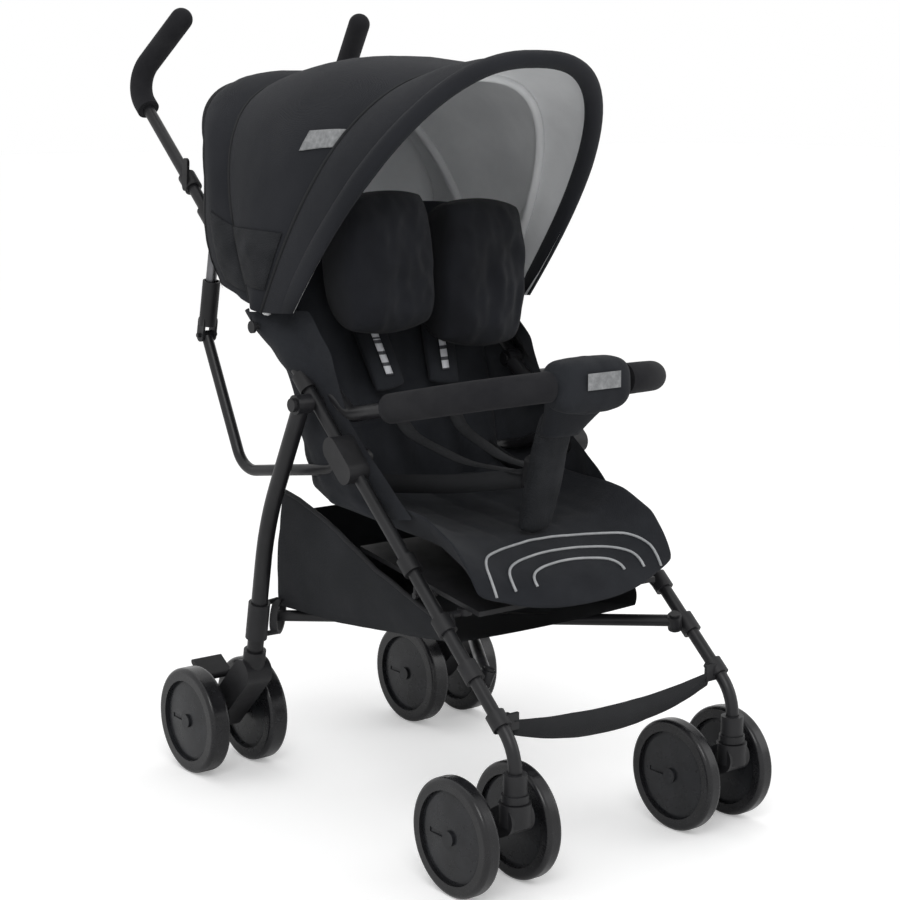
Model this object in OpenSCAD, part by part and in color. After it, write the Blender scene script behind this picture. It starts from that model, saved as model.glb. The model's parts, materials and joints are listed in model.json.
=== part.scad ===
// Lightweight folding buggy with twin wheels, reclining back, bumper bar and folding canopy.
// Millimetres, +Z up, front towards -Y, right-hand side (the sitter's right) towards -X.
// The origin is the centre of the footprint box, on the ground.

/* [Frame] */
// Distance between the front and the rear axles
wheelbase = 564; // [545:1:590]
// Distance from the centre plane to each side tube
side_x = 175; // [172:1:185]
// Diameter of the side tubes, which are handle and front leg in one
side_tube_d = 16; // [15:0.5:17]
// Wall of every metal tube
tube_wall = 1.2; // [1:0.1:1.6]
// Lean of the side tubes above the ground, in degrees
side_lean = 41.8; // [41:0.1:42.5]
// Length of a side tube between its lower and its upper bend
side_len = 1124; // [1100:1:1140]
// Radius of the lower bend of a side tube
side_bend_r = 60; // [50:1:66]
// Diameter of the rear legs
rear_leg_d = 22; // [20:0.5:23]
// Distance of the rear leg pivot up the side tube
leg_pivot_s = 527; // [523:1:531]
// Diameter of the crossed tubes under the seat
cross_tube_d = 15; // [13:0.5:16]

/* [Handles] */
// Diameter of the foam grips
grip_d = 31; // [28:0.5:34]
// Radius of the bend inside each grip
grip_bend_r = 38; // [36:1:42]
// How far the grip's tip leans inwards
grip_in = 30; // [20:1:36]
// How far the grip's tip lies in front of its bend
grip_forward = 100; // [92:1:108]
// Height of the grip's tip above its bend
grip_rise = 96; // [90:1:104]

/* [Wheels] */
// Diameter of the front wheels
front_wheel_d = 141; // [136:1:144]
// Diameter of the rear wheels
rear_wheel_d = 144; // [140:1:150]
// Width of a front wheel
front_wheel_w = 22; // [19:0.5:24]
// Width of a rear wheel
rear_wheel_w = 29; // [25:0.5:30]
// Distance between the two front wheels of a pair, centre to centre
front_pair = 91; // [88:1:94]
// Distance between the two rear wheels of a pair, centre to centre
rear_pair = 91; // [88:1:94]
// Distance from the centre plane to the middle of a rear pair
rear_x = 184.5; // [180:0.5:188]
// Diameter of the axles
axle_d = 8; // [7:0.5:9]
// How far the front axle trails behind its swivel pin
trail = 51; // [46:1:54]
// Diameter of the swivel pins
swivel_d = 9; // [8:0.5:10]
// Height of the top of the swivelling fork
fork_top = 116; // [112:1:118]
// Width of the swivelling fork
fork_w = 34; // [30:1:38]

/* [Back and seat] */
// Diameter of the tubes of the reclining back frame
back_tube_d = 15; // [14:0.5:15.5]
// Distance of the side hub up the side tube
hub_s = 433; // [428:1:438]
// Length of a side hub
hub_len = 68; // [60:1:72]
// Width of a side hub
hub_w = 30; // [27:0.5:32]
// Diameter of the guide sleeves that the recline rods run in
sleeve_d = 14.5; // [14:0.5:15]
// Diameter of the recline rods
recline_rod_d = 6; // [5:0.5:6.5]
// Largest recline, in degrees
recline_max = 15; // [12:1:16]
// Half the width of the seat cushion
seat_half = 150; // [144:1:152]
// Thickness of the seat cushion
seat_thick = 26; // [20:1:28]
// Half the width of the back cushion
back_half = 136; // [130:1:140]
// Thickness of the back cushion
back_thick = 24; // [18:1:28]
// Thickness of the side bolsters of the back
bolster_thick = 58; // [48:1:62]

/* [Canopy] */
// Distance of the canopy pivot up the side tube
canopy_s = 660; // [656:1:664]
// Height of the canopy's crown above its pivot
crown_rise = 343; // [336:1:350]
// Half the width over the canopy's front gore
canopy_half = 202; // [201.6:0.2:204]
// Thickness of the canopy's fabric
fabric_t = 2; // [1.5:0.1:2.2]

/* [Bumper and basket] */
// Diameter of the bumper bar's tube
bumper_d = 20; // [18:0.5:21]
// Diameter of the bumper bar's foam
bumper_foam_d = 37; // [34:0.5:40]
// How far the bumper bar reaches in front of the middle of the wheelbase
bumper_reach = 252; // [246:1:258]
// Half the width of the basket
basket_half = 148; // [140:1:149]
// Height of the footrest strap at its middle
strap_w = 36; // [30:1:38]

/* [Hidden] */
$fn = 48;

// Clearance between pieces that fit or pass each other
fit = 0.3;
// Height of the bumper bar at its front
bumper_front_z = 573;
// Colours
c_frame = [0.10, 0.10, 0.11];
c_plastic = [0.13, 0.13, 0.14];
c_fabric = [0.15, 0.16, 0.18];
c_lining = [0.62, 0.63, 0.65];
c_foam = [0.12, 0.12, 0.13];
c_steel = [0.70, 0.70, 0.72];

tube_r = side_tube_d / 2;
front_axle_y = -wheelbase / 2;
rear_axle_y = wheelbase / 2;
front_axle_z = front_wheel_d / 2;
rear_axle_z = rear_wheel_d / 2;
swivel_y = front_axle_y - trail;
// Height at which the lower and the sloping line of a side tube meet
corner_z = 177.5;

// A point on, or up above, the side tube's sloping line: [y, z]
function side_y(s, up = 0) = swivel_y + s * cos(side_lean) - up * sin(side_lean);
function side_z(s, up = 0) = corner_z + s * sin(side_lean) + up * cos(side_lean);
function side_p(s, x = side_x, up = 0) = [-x, side_y(s, up), side_z(s, up)];

// The grip leaves the upper corner towards its tip
grip_corner = side_p(side_len);
grip_tip = grip_corner + [grip_in, -grip_forward, grip_rise];
function unit(v) = v / norm(v);
function angle_between(a, b) = acos(unit(a) * unit(b));
side_dir = [0, cos(side_lean), sin(side_lean)];
grip_dir = unit(grip_tip - grip_corner);
grip_turn = angle_between(side_dir, grip_dir);
grip_trim = grip_bend_r * tan(grip_turn / 2);
grip_normal = unit(grip_dir - (side_dir * grip_dir) * side_dir);
grip_centre = grip_corner - grip_trim * side_dir + grip_bend_r * grip_normal;
// Rearmost point of the grips, and the middle of the whole length
grip_back_y = grip_centre[1] + grip_bend_r * norm([side_dir[1], grip_normal[1]]) + grip_d / 2;
fork_nose_r = 17;
front_y = min(front_axle_y - front_axle_z, swivel_y - fork_nose_r);
middle_y = (grip_back_y + front_y) / 2;

// Everything is drawn from the middle of the wheelbase and moved once
module placed() {
    translate([0, -middle_y, 0]) children();
}
module to_left() {
    mirror([1, 0, 0]) children();
}
module both() {
    children();
    to_left() children();
}
// A cylinder along X between two x positions
module x_rod(x1, x2, d) {
    translate([min(x1, x2), 0, 0]) rotate([0, 90, 0]) cylinder(d = d, h = abs(x2 - x1));
}
// The frame of a place on the right side tube: local Y runs up the tube
module on_side(s, x = 0, up = 0) {
    translate([-side_x + x, side_y(s, up), side_z(s, up)]) rotate([side_lean, 0, 0]) children();
}
// Straight runs lap a little over their bends, and are a little thicker
lap = 0.5;
swell = 0.1;
// Solid round bar through points; bend is one radius, or a list with one for each inner point
function bend_at(bend, i) = is_list(bend) ? bend[i] : bend;
module bar(points, d, bend) {
    n = len(points);
    dirs = [for (i = [0 : n - 2]) unit(points[i + 1] - points[i])];
    turns = [for (i = [1 : n - 2]) angle_between(dirs[i - 1], dirs[i])];
    trims = [0, for (i = [0 : len(turns) - 1]) bend_at(bend, i) * tan(turns[i] / 2), 0];
    for (i = [0 : n - 2]) {
        a = points[i] + (trims[i] - (i > 0 ? lap : 0)) * dirs[i];
        b = points[i + 1] - (trims[i + 1] - (i < n - 2 ? lap : 0)) * dirs[i];
        straight(a, b, d);
    }
    for (i = [1 : 1 : n - 2])
        corner(points[i], dirs[i - 1], dirs[i], trims[i], turns[i - 1], d - swell,
            bend_at(bend, i - 1));
}
module straight(a, b, d) {
    v = b - a;
    yaw = atan2(v[1], v[0]);
    pitch = acos(v[2] / norm(v));
    translate(a) rotate([0, pitch, yaw]) cylinder(d = d, h = norm(v));
}
module corner(p, a, b, trim, turn, d, bend) {
    out = -unit(b - (a * b) * a);
    c = p - trim * a - bend * out;
    up = cross(out, a);
    multmatrix([
        [out[0], a[0], up[0], c[0]],
        [out[1], a[1], up[1], c[1]],
        [out[2], a[2], up[2], c[2]],
        [0, 0, 0, 1]
    ]) rotate_extrude(angle = turn) translate([bend, 0]) circle(d = d);
}
// The first and the last point moved outwards, so that a bore breaks through
function longer(points, e) = [
    for (i = [0 : len(points) - 1])
        i == 0 ? points[0] - e * unit(points[1] - points[0])
        : i == len(points) - 1 ? points[i] + e * unit(points[i] - points[i - 1])
        : points[i]
];
module hollow(points, d, bend, wall = tube_wall) {
    difference() {
        bar(points, d, bend);
        bar(longer(points, 1), d - 2 * wall, bend);
    }
}
// A bar of stadium section between two round ends, lying along local Y, thickness along X
module link(len, width, thick) {
    for (y = [-1, 1])
        translate([-thick / 2, y * (len - width) / 2, 0]) x_rod(0, thick, width);
    cube([thick, len - width, width], center = true);
}
// A ring that grips a side tube
module clamp_ring(s, wide, wall) {
    on_side(s) rotate([90, 0, 0]) difference() {
        cylinder(d = side_tube_d + 2 * wall, h = wide, center = true);
        cylinder(d = side_tube_d + 2 * fit, h = wide + 2, center = true);
    }
}

// ---- Side tubes and grips ----
socket_top = 150;
socket_floor = fork_top + 1;
tube_foot_z = socket_floor + 8;
function side_path() = [
    [-side_x, swivel_y, tube_foot_z],
    [-side_x, swivel_y, corner_z],
    grip_corner
];
bolt_d = 8;
module main_tube() {
    color(c_frame) difference() {
        hollow([for (p = side_path()) p, grip_tip - grip_cover * grip_dir],
            side_tube_d, [side_bend_r, grip_bend_r]);
        on_side(leg_pivot_s) x_rod(-tube_r - 2, tube_r + 2, bolt_d + 2 * fit);
    }
}
// The side tube goes on inside the foam, to just short of the grip's tip
grip_cover = 12;
module main_tube_right() { placed() main_tube(); }
module main_tube_left() { placed() to_left() main_tube(); }

grip_start = 13;
module grip() {
    path = [grip_corner - (grip_trim + grip_start) * side_dir, grip_corner,
        grip_tip - grip_d / 2 * grip_dir];
    inner = [path[0] - side_dir, grip_corner, grip_tip - (grip_cover - 0.5) * grip_dir];
    difference() {
        union() {
            bar(path, grip_d, grip_bend_r);
            translate(path[2]) sphere(d = grip_d - swell);
        }
        bar(inner, side_tube_d + 2 * fit, grip_bend_r);
    }
}
module handle_grips() { color(c_foam) placed() both() grip(); }

// ---- Hubs and bolts ----
hub_out = 19;
hub_in = 12.5;
pin_d = 8;
hub_pin_len = 16.6;
module side_hub() {
    on_side(hub_s) difference() {
        union() {
            translate([(hub_in - hub_out) / 2, 0, 0]) link(hub_len, hub_w, hub_out + hub_in);
            x_rod(0, hub_in + hub_pin_len, pin_d);
            x_rod(hub_in + hub_pin_len, hub_in + hub_pin_len + 3, pin_d + 6);
        }
        rotate([90, 0, 0]) cylinder(d = side_tube_d + 2 * fit, h = hub_len + 4, center = true);
    }
}
module side_hubs() { color(c_plastic) placed() both() side_hub(); }

// The rear leg turns on this bolt, outboard of the side tube
leg_gap = 3;
leg_top_x = side_x + tube_r + leg_gap + rear_leg_d / 2;
leg_head_out = leg_top_x + rear_leg_d / 2;
module leg_bolt() {
    on_side(leg_pivot_s) {
        x_rod(-(leg_head_out - side_x) - fit - 5, -(leg_head_out - side_x) - fit, 17);
        x_rod(-(leg_head_out - side_x) - fit, tube_r + 2.2, bolt_d);
        x_rod(-tube_r - leg_gap + fit, -tube_r - fit, 18);
        x_rod(tube_r + fit, tube_r + 2.2, 14);
    }
}
module frame_bolts() { color(c_steel) placed() both() leg_bolt(); }

// ---- Reclining back frame: its pivot, path and slider ----
function hub_y() = side_y(hub_s);
function hub_z() = side_z(hub_s);
back_x = side_x - 7;
back_eye_x = side_x - hub_in - hub_pin_len / 2;
// The slider's pivot on the back frame, seen from the hub
slider_dy = 344;
slider_dz = 123;
slider_p = [-back_x, hub_y() + slider_dy, hub_z() + slider_dz];
slider_reach = norm([slider_dy, slider_dz]);
slider_angle = atan2(slider_dz, slider_dy);
// The rods run along the chord of the slider's arc, half its rise off the chord
run_angle = slider_angle + 90 - recline_max / 2;
arc_rise = slider_reach * (1 - cos(recline_max / 2));
run_dir = [0, cos(run_angle), sin(run_angle)];
run_out = [0, sin(run_angle), -cos(run_angle)];
sleeve_line = slider_p + run_out * arc_rise / 2;
sleeve_low = 30;
sleeve_len = 112;
housing_low = 14;
housing_len = 62;
housing_d = 24;
rod_len = 134;
module sleeve() {
    a = sleeve_line + sleeve_low * run_dir;
    b = a + sleeve_len * run_dir;
    difference() {
        straight(a, b, sleeve_d);
        straight(a - run_dir, b - 6 * run_dir, sleeve_d - 2 * tube_wall);
    }
}
module recline_sleeves() { color(c_steel) placed() both() sleeve(); }

top_bracket_s = 861;
module top_bracket() {
    sleeve_top = sleeve_line + (sleeve_low + sleeve_len) * run_dir;
    socket_base = sleeve_top - 14 * run_dir;
    socket_cap = sleeve_top + 5 * run_dir;
    difference() {
        union() {
            clamp_ring(top_bracket_s, 26, 4);
            straight(socket_base, socket_cap, sleeve_d + 7);
            arm_from = side_p(top_bracket_s, side_x, -tube_r - 3);
            straight(arm_from, [-back_x - 2, sleeve_top[1], sleeve_top[2] - 3], 9);
        }
        straight(socket_base - run_dir, sleeve_top + fit * run_dir, sleeve_d + 2 * fit);
        on_side(top_bracket_s) rotate([90, 0, 0])
            cylinder(d = side_tube_d + 2 * fit, h = 60, center = true);
    }
}
module top_brackets() { color(c_plastic) placed() both() top_bracket(); }

slider_pin_d = 6;
back_knee = [-back_eye_x - 3, side_y(hub_s) + 66, side_z(hub_s) - 24];
back_bend = [-back_x, side_y(hub_s) + 256, side_z(hub_s) - 52];
module back_tube() {
    eye = [-back_eye_x, hub_y(), hub_z()];
    top = slider_p;
    difference() {
        union() {
            bar([eye, back_knee, back_bend, top - 3 * unit(top - back_bend)],
                back_tube_d, 40);
            translate(eye) x_rod(-7, 7, 22);
        }
        translate(eye) x_rod(-9, 9, pin_d + 2 * fit);
    }
    translate(slider_p) {
        x_rod(-back_tube_d / 2, back_tube_d / 2, 12);
        x_rod(-housing_d / 2 - 3, housing_d / 2 + 3, slider_pin_d);
    }
}
module back_frame() { color(c_frame) placed() both() back_tube(); }

cheek_t = 3;
module slider() {
    base = slider_p + housing_low * run_dir;
    top = base + housing_len * run_dir;
    // Sleeve room in the housing, along the sleeve's own line
    difference() {
        union() {
            straight(base, top, housing_d);
            for (x = [-1, 1])
                translate(slider_p + [x * (back_tube_d / 2 + fit + cheek_t / 2), 0, 0])
                    rotate([run_angle - 90, 0, 0]) translate([0, 0, housing_low / 2 + 2])
                        link_up(housing_low + 22, 16, cheek_t);
        }
        straight(base + 8 * run_dir, top + run_dir, sleeve_d + arc_rise + 1.6);
        translate(slider_p) x_rod(-housing_d, housing_d, slider_pin_d + 2 * fit);
        translate(slider_p) x_rod(-back_tube_d / 2 - fit, back_tube_d / 2 + fit, 24);
    }
    straight(base + 2 * run_dir, base + (rod_len - housing_low) * run_dir, recline_rod_d);
}
// A stadium bar standing along local Z
module link_up(len, width, thick) {
    for (z = [-1, 1])
        translate([-thick / 2, 0, z * (len - width) / 2]) x_rod(0, thick, width);
    cube([thick, width, len - width], center = true);
}
module recline_sliders() { color(c_plastic) placed() both() slider(); }

// ---- Brackets on the side tubes ----
// An arm between a clamp ring and a piece, cut clear of the side tube
module tube_bore(s, long = 70) {
    on_side(s) rotate([90, 0, 0]) cylinder(d = side_tube_d + 2 * fit, h = long, center = true);
}
seat_clamp_1 = 176;
seat_clamp_2 = 266;
board_t = 6;
board_half = seat_half - 8;
// The board's underside, as [y, z] at its front and its rear
board_front = [-226, 305];
board_rear = [14, 342];
function board_z(y) = board_front[1]
    + (y - board_front[0]) * (board_rear[1] - board_front[1]) / (board_rear[0] - board_front[0]);
module seat_clamp(s) {
    foot = side_p(s, side_x - tube_r - 4);
    seat_y = foot[1] + 8;
    under = [-board_half + 4, seat_y, board_z(seat_y) - 6];
    difference() {
        union() {
            clamp_ring(s, 22, 4);
            straight(foot, under - [21, 0, 0], 8);
            straight(under - [25, 0, 0], under, 8);
            translate(under - [0, 0, 3]) cylinder(d = 18, h = 8);
        }
        tube_bore(s);
        board_space();
    }
}
module seat_clamps() {
    color(c_plastic) placed() both() {
        seat_clamp(seat_clamp_1);
        seat_clamp(seat_clamp_2);
    }
}
// Profile given as [y, z] points, drawn along X between two positions
module side_profile(points, x1, x2) {
    translate([x1, 0, 0]) rotate([90, 0, 90]) linear_extrude(x2 - x1) polygon(points);
}
module board_space() {
    side_profile([board_front, board_rear, board_rear + [0, 40], board_front + [0, 40]],
        -board_half - 8, board_half + 8);
}
module seat_board() {
    color(c_plastic) placed() side_profile(
        [board_front, board_rear, board_rear + [0, board_t], board_front + [0, board_t]],
        -board_half, board_half);
}

// Cushion of the seat with a raised roll along each side
seat_roll_d = 24;
module seat_cushion() {
    low = board_t;
    roll_x = seat_half + 1;
    color(c_fabric) placed() {
        side_profile([
            board_front + [-8, low], board_rear + [0, low], board_rear + [0, low + seat_thick],
            [-150, 340 + seat_thick], [-222, 316 + seat_thick],
            [-240, 306 + seat_thick], [-246, 316], [-240, 308]
        ], -seat_half, seat_half);
        both() bar([[-roll_x, -226, 328], [-roll_x, -190, 398], [-roll_x, -50, 412]], seat_roll_d, 30);
        both() side_profile([[-224, 330], [-188, 396], [-52, 410], [-42, 350]], -roll_x - 3, -roll_x + 3);
    }
}

// Crotch pad and the buckle on its inner side
pad_foot_y = -182;
pad_top_z = bumper_z() - 34;
pad_lean = 26;
module crotch_pad() {
    color(c_fabric) placed() side_profile([
        [pad_foot_y, 355.7], [pad_foot_y + 16, 361.1],
        [pad_foot_y + 16 - pad_lean, pad_top_z], [pad_foot_y - pad_lean, pad_top_z]
    ], -22, 22);
}
buckle_w = 46;
buckle_h = 44;
buckle_t = 16;
button_d = 20;
button_t = 5;
module at_buckle() {
    translate([0, pad_foot_y + 16 - pad_lean * 0.5 + 0.5, 452]) rotate([8.5, 0, 0]) children();
}
module buckle() {
    color(c_plastic) placed() at_buckle() difference() {
        union() {
            for (x = [-1, 1])
                translate([x * (buckle_w - 16) / 2, 0, 0]) rotate([-90, 0, 0]) rounded_pillar();
            translate([-(buckle_w - 16) / 2, 0, -buckle_h / 2]) cube([buckle_w - 16, buckle_t, buckle_h]);
        }
        translate([0, buckle_t - button_t, 0]) rotate([-90, 0, 0])
            cylinder(d = button_d + 2 * fit, h = button_t + 1);
    }
}
module rounded_pillar() {
    for (y = [-1, 1])
        translate([0, y * (buckle_h - 16) / 2, 0]) cylinder(d = 16, h = buckle_t);
    translate([-8, -(buckle_h - 16) / 2, 0]) cube([16, buckle_h - 16, buckle_t]);
}
module buckle_button() {
    color([0.55, 0.1, 0.1]) placed() at_buckle() translate([0, buckle_t - button_t + 3.2, 0])
        rotate([-90, 0, 0]) cylinder(d = button_d, h = button_t);
}

// Footrest strap, wider at its middle, between a bracket on each front leg
strap_s = 40;
strap_end_x = side_x - tube_r - 8;
strap_t = 3.5;
module strap_bracket() {
    tab = side_p(strap_s, side_x - tube_r - 2);
    difference() {
        union() {
            clamp_ring(strap_s, 20, 4);
            translate([tab[0], tab[1] - strap_t - 4.3, tab[2] - 12]) cube([14, 4, 20]);
            translate([tab[0] - 4, tab[1] - strap_t - 4.3, tab[2] - 12]) cube([8, 9, 20]);
        }
        tube_bore(strap_s);
    }
}
module strap_brackets() { color(c_plastic) placed() both() strap_bracket(); }
module footrest_strap() {
    tab = side_p(strap_s);
    steps = 16;
    top_sag = 14;
    low_sag = 30;
    function bow(t, sag) = -sag * (1 - t * t);
    upper = [for (i = [0 : steps]) [strap_end_x * (2 * i / steps - 1), bow(2 * i / steps - 1, top_sag)]];
    lower = [for (i = [steps : -1 : 0])
        [strap_end_x * (2 * i / steps - 1), bow(2 * i / steps - 1, low_sag + strap_w - 22) - 18]];
    color(c_fabric) placed() translate([0, tab[1] - fit, tab[2] + 6]) rotate([90, 0, 0])
        linear_extrude(strap_t) polygon(concat(upper, lower));
}

// ---- Crossed tubes under the seat ----
// One tube runs above the other; each turns on a leaning pin and slides through a ring
cross_gap = (cross_tube_d + 2) / 2;
lug_s = 108.5;
lug_x = side_x - 23;
lug_pin_d = 7;
cross_len = 540;
cross_lean = unit([-0.3064, -0.2315, 1]);
ring_x = 153;
ring_rest = [190, 215];
ring_axis = unit([-0.66, 0.747, 0.069]);
ring_bore_d = cross_tube_d + 24.5;
ring_t = 10;
function cross_pin(up) = [lug_x, side_y(lug_s), side_z(lug_s) + up];
function cross_dir(up) = unit([-ring_x, ring_rest[0], ring_rest[1] + up] - cross_pin(up));
module cross_tube(up) {
    p = cross_pin(up);
    d = cross_dir(up);
    eye_h = 15.6;
    difference() {
        union() {
            straight(p - eye_h / 2 * cross_lean, p + eye_h / 2 * cross_lean, 18);
            straight(p, p + cross_len * d, cross_tube_d);
        }
        straight(p - 12 * cross_lean, p + 12 * cross_lean, lug_pin_d + 2 * fit);
        straight(p + 14 * d, p + (cross_len + 1) * d, cross_tube_d - 2 * tube_wall);
    }
}
module cross_tube_right() { color(c_frame) placed() cross_tube(cross_gap); }
module cross_tube_left() { color(c_frame) placed() to_left() cross_tube(-cross_gap); }
module lug(up) {
    p = cross_pin(up);
    low = p - 8.2 * cross_lean;
    // The arm first runs clear of the tube's eye, then turns to the clamp
    elbow = [side_x - 11, low[1] - 2, low[2] - 2];
    difference() {
        union() {
            to_left() clamp_ring(lug_s, 24, 4);
            straight(low - 4 * cross_lean, low, 18);
            straight(low - 2 * cross_lean, elbow, 4);
            translate(elbow) sphere(d = 4.4);
            straight(elbow, [side_x - 6, side_y(lug_s) - 4, side_z(lug_s) - 5], 4);
            straight(low - cross_lean, p + 9 * cross_lean, lug_pin_d);
            straight(p + 8.2 * cross_lean, p + 10.8 * cross_lean, 13);
        }
        to_left() tube_bore(lug_s);
    }
}
module cross_tube_lugs() {
    color(c_plastic) placed() {
        lug(cross_gap);
        to_left() lug(-cross_gap);
    }
}
ring_arm = ring_bore_d / 2 + 2.2;
module guide_ring(up) {
    c = [-ring_x, ring_rest[0], ring_rest[1] + up];
    leg = leg_at(c[2]);
    difference() {
        union() {
            straight(c - ring_t / 2 * ring_axis, c + ring_t / 2 * ring_axis, ring_bore_d + 9);
            straight(leg_at(c[2] + 25), leg_at(c[2] - 25), rear_leg_d + 7);
            for (z = [-1, 1])
                straight(c + [0, 0, z * ring_arm], leg_at(c[2] + z * ring_arm), 7);
        }
        straight(c - 30 * ring_axis, c + 30 * ring_axis, ring_bore_d);
        straight(leg_at(c[2] + 30), leg_at(c[2] - 30), rear_leg_d + 2 * fit);
    }
}
module guide_ring_right() { color(c_plastic) placed() guide_ring(cross_gap); }
module guide_ring_left() { color(c_plastic) placed() to_left() guide_ring(-cross_gap); }

// ---- Rear legs, housings, axles and brake levers ----
leg_top = [-leg_top_x, side_y(leg_pivot_s), side_z(leg_pivot_s)];
leg_knee = [-(leg_top_x + rear_x) / 2, 154, 362];
leg_foot = [-rear_x, rear_axle_y - 76, rear_axle_z + 70];
// The point of the leg's lower run at a given height
function leg_at(z) = leg_knee + (leg_foot - leg_knee) * (z - leg_knee[2]) / (leg_foot[2] - leg_knee[2]);
module rear_leg() {
    difference() {
        union() {
            hollow([leg_top, leg_knee, leg_foot], rear_leg_d, 400);
            translate(leg_top) x_rod(-rear_leg_d / 2, rear_leg_d / 2, rear_leg_d + 3);
        }
        translate(leg_top) x_rod(-20, 20, bolt_d + 2 * fit);
    }
}
module rear_leg_right() { color(c_frame) placed() rear_leg(); }
module rear_leg_left() { color(c_frame) placed() to_left() rear_leg(); }
// Two circles in the YZ plane joined by their outer tangents, drawn along X
module taper(p, r1, q, r2, x1, x2) {
    a = atan2(q[1] - p[1], q[0] - p[0]);
    t = acos((r1 - r2) / norm(q - p));
    translate([x1, 0, 0]) rotate([90, 0, 90]) linear_extrude(x2 - x1) {
        translate(p) circle(r1);
        translate(q) circle(r2);
        polygon([
            p + r1 * [cos(a + t), sin(a + t)], q + r2 * [cos(a + t), sin(a + t)],
            q + r2 * [cos(a - t), sin(a - t)], p + r1 * [cos(a - t), sin(a - t)]
        ]);
    }
}
housing_w = 38;
lever_pin = [rear_axle_y - 20, rear_axle_z + 34];
lever_pin_d = 6;
rear_wheel_gap = rear_pair / 2 - rear_wheel_w / 2 + 2.5;
module rear_housing() {
    difference() {
        union() {
            taper([leg_foot[1], leg_foot[2] + 6], 19, [rear_axle_y, rear_axle_z], 18,
                -rear_x - housing_w / 2, -rear_x + housing_w / 2);
            straight(leg_at(leg_foot[2] + 38.5), leg_foot, rear_leg_d + 8);
        }
        straight(leg_at(leg_foot[2] + 60), leg_foot, rear_leg_d + 2 * fit);
        translate([-rear_x, rear_axle_y, rear_axle_z]) x_rod(-40, 40, axle_d + 2 * fit);
        translate([-rear_x, lever_pin[0], lever_pin[1]]) x_rod(-40, 40, lever_pin_d + 2 * fit);
    }
}
module rear_housing_right() { color(c_plastic) placed() rear_housing(); }
module rear_housing_left() { color(c_plastic) placed() to_left() rear_housing(); }
// Axle with a collar each side of what carries it, and a head outside each wheel
module axle(half_pair, half_hub, half_carrier) {
    half = half_pair + half_hub + fit;
    x_rod(-half - 3, half + 3, axle_d);
    for (x = [-1, 1]) {
        x_rod(x * (half_carrier + fit), x * (half_pair - half_hub - fit), axle_d + 8);
        x_rod(x * half, x * (half + 3), axle_d + 10);
    }
}
rear_hub_half = rear_wheel_w / 2 - 2.5;
front_hub_half = front_wheel_w / 2 - 2;
module rear_axle() {
    translate([-rear_x, rear_axle_y, rear_axle_z]) axle(rear_pair / 2, rear_hub_half, housing_w / 2);
}
module rear_axle_right() { color(c_steel) placed() rear_axle(); }
module rear_axle_left() { color(c_steel) placed() to_left() rear_axle(); }
lever_reach = [38, 16];
module brake_lever() {
    cheek = housing_w / 2 + fit;
    tip = lever_pin + lever_reach;
    back = tip + [24, 17];
    translate([-rear_x, 0, 0]) {
        for (x = [-1, 1])
            taper(lever_pin, 9, tip, 6, x > 0 ? cheek : -cheek - 3.5, x > 0 ? cheek + 3.5 : -cheek);
        taper(tip, 5, back, 3.5, -cheek - 3.5, cheek + 3.5);
        translate([0, lever_pin[0], lever_pin[1]]) x_rod(-cheek - 3.5, cheek + 3.5, lever_pin_d);
    }
}
module brake_lever_right() { color(c_plastic) placed() brake_lever(); }
module brake_lever_left() { color(c_plastic) placed() to_left() brake_lever(); }

// ---- Front sockets, forks and axles ----
module fork_socket() {
    translate([-side_x, swivel_y, 0]) difference() {
        union() {
            translate([0, 0, socket_floor]) cylinder(d = 28, h = socket_top - socket_floor);
            translate([0, 0, socket_floor]) cylinder(d = 32, h = 9);
        }
        translate([0, 0, tube_foot_z]) cylinder(d = side_tube_d + 2 * fit, h = 60);
        translate([0, 0, socket_floor - 1]) cylinder(d = swivel_d + 2 * fit, h = 30);
    }
}
module fork_sockets() { color(c_plastic) placed() both() fork_socket(); }
module front_fork() {
    translate([-side_x, 0, 0]) {
        difference() {
            union() {
                taper([swivel_y + 3, fork_top - 19], 18, [front_axle_y, front_axle_z], 15,
                    -fork_w / 2, fork_w / 2);
                translate([0, swivel_y, fork_top - 26]) cylinder(d = fork_w + 4, h = 26);
            }
            translate([0, front_axle_y, front_axle_z]) x_rod(-40, 40, axle_d + 2 * fit);
        }
        translate([0, swivel_y, fork_top - 5]) cylinder(d = swivel_d, h = tube_foot_z - fork_top + 9);
        translate([0, swivel_y, tube_foot_z + fit]) cylinder(d = swivel_d + 2.4, h = 4);
    }
}
module front_fork_right() { color(c_plastic) placed() front_fork(); }
module front_fork_left() { color(c_plastic) placed() to_left() front_fork(); }
module front_axle() {
    translate([-side_x, front_axle_y, front_axle_z]) axle(front_pair / 2, front_hub_half, fork_w / 2);
}
module front_axle_right() { color(c_steel) placed() front_axle(); }
module front_axle_left() { color(c_steel) placed() to_left() front_axle(); }

// ---- Wheels ----
// Hub disc with a shallow slot, and its tyre; outwards is +X here
module wheel(d, w, half_hub, tread) {
    seat_r = d / 2 - tread;
    rotate([0, 90, 0]) {
        difference() {
            rotate_extrude($fn = 72) polygon([
                [axle_d / 2 + fit, -half_hub], [seat_r - 5, -half_hub + 2], [seat_r, -half_hub + 3],
                [seat_r, half_hub - 3], [seat_r - 5, half_hub - 2], [16, half_hub], [axle_d / 2 + fit, half_hub]
            ]);
            translate([-3, 14, half_hub - 2.5]) cube([6, seat_r * 0.45, 5]);
        }
        rotate_extrude($fn = 72) tyre_section(seat_r + 0.1, d / 2, w, 6);
    }
}
module tyre_section(r1, r2, w, r) {
    translate([r1, -w / 2]) square([r2 - r - r1, w]);
    translate([r1, -w / 2 + r]) square([r2 - r1, w - 2 * r]);
    for (y = [-1, 1])
        translate([r2 - r, y * (w / 2 - r)]) circle(r);
}
module front_wheel(side, place) {
    translate([-side * side_x + place * front_pair / 2, front_axle_y, front_axle_z])
        scale_x(place) wheel(front_wheel_d, front_wheel_w, front_hub_half, 15);
}
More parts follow.
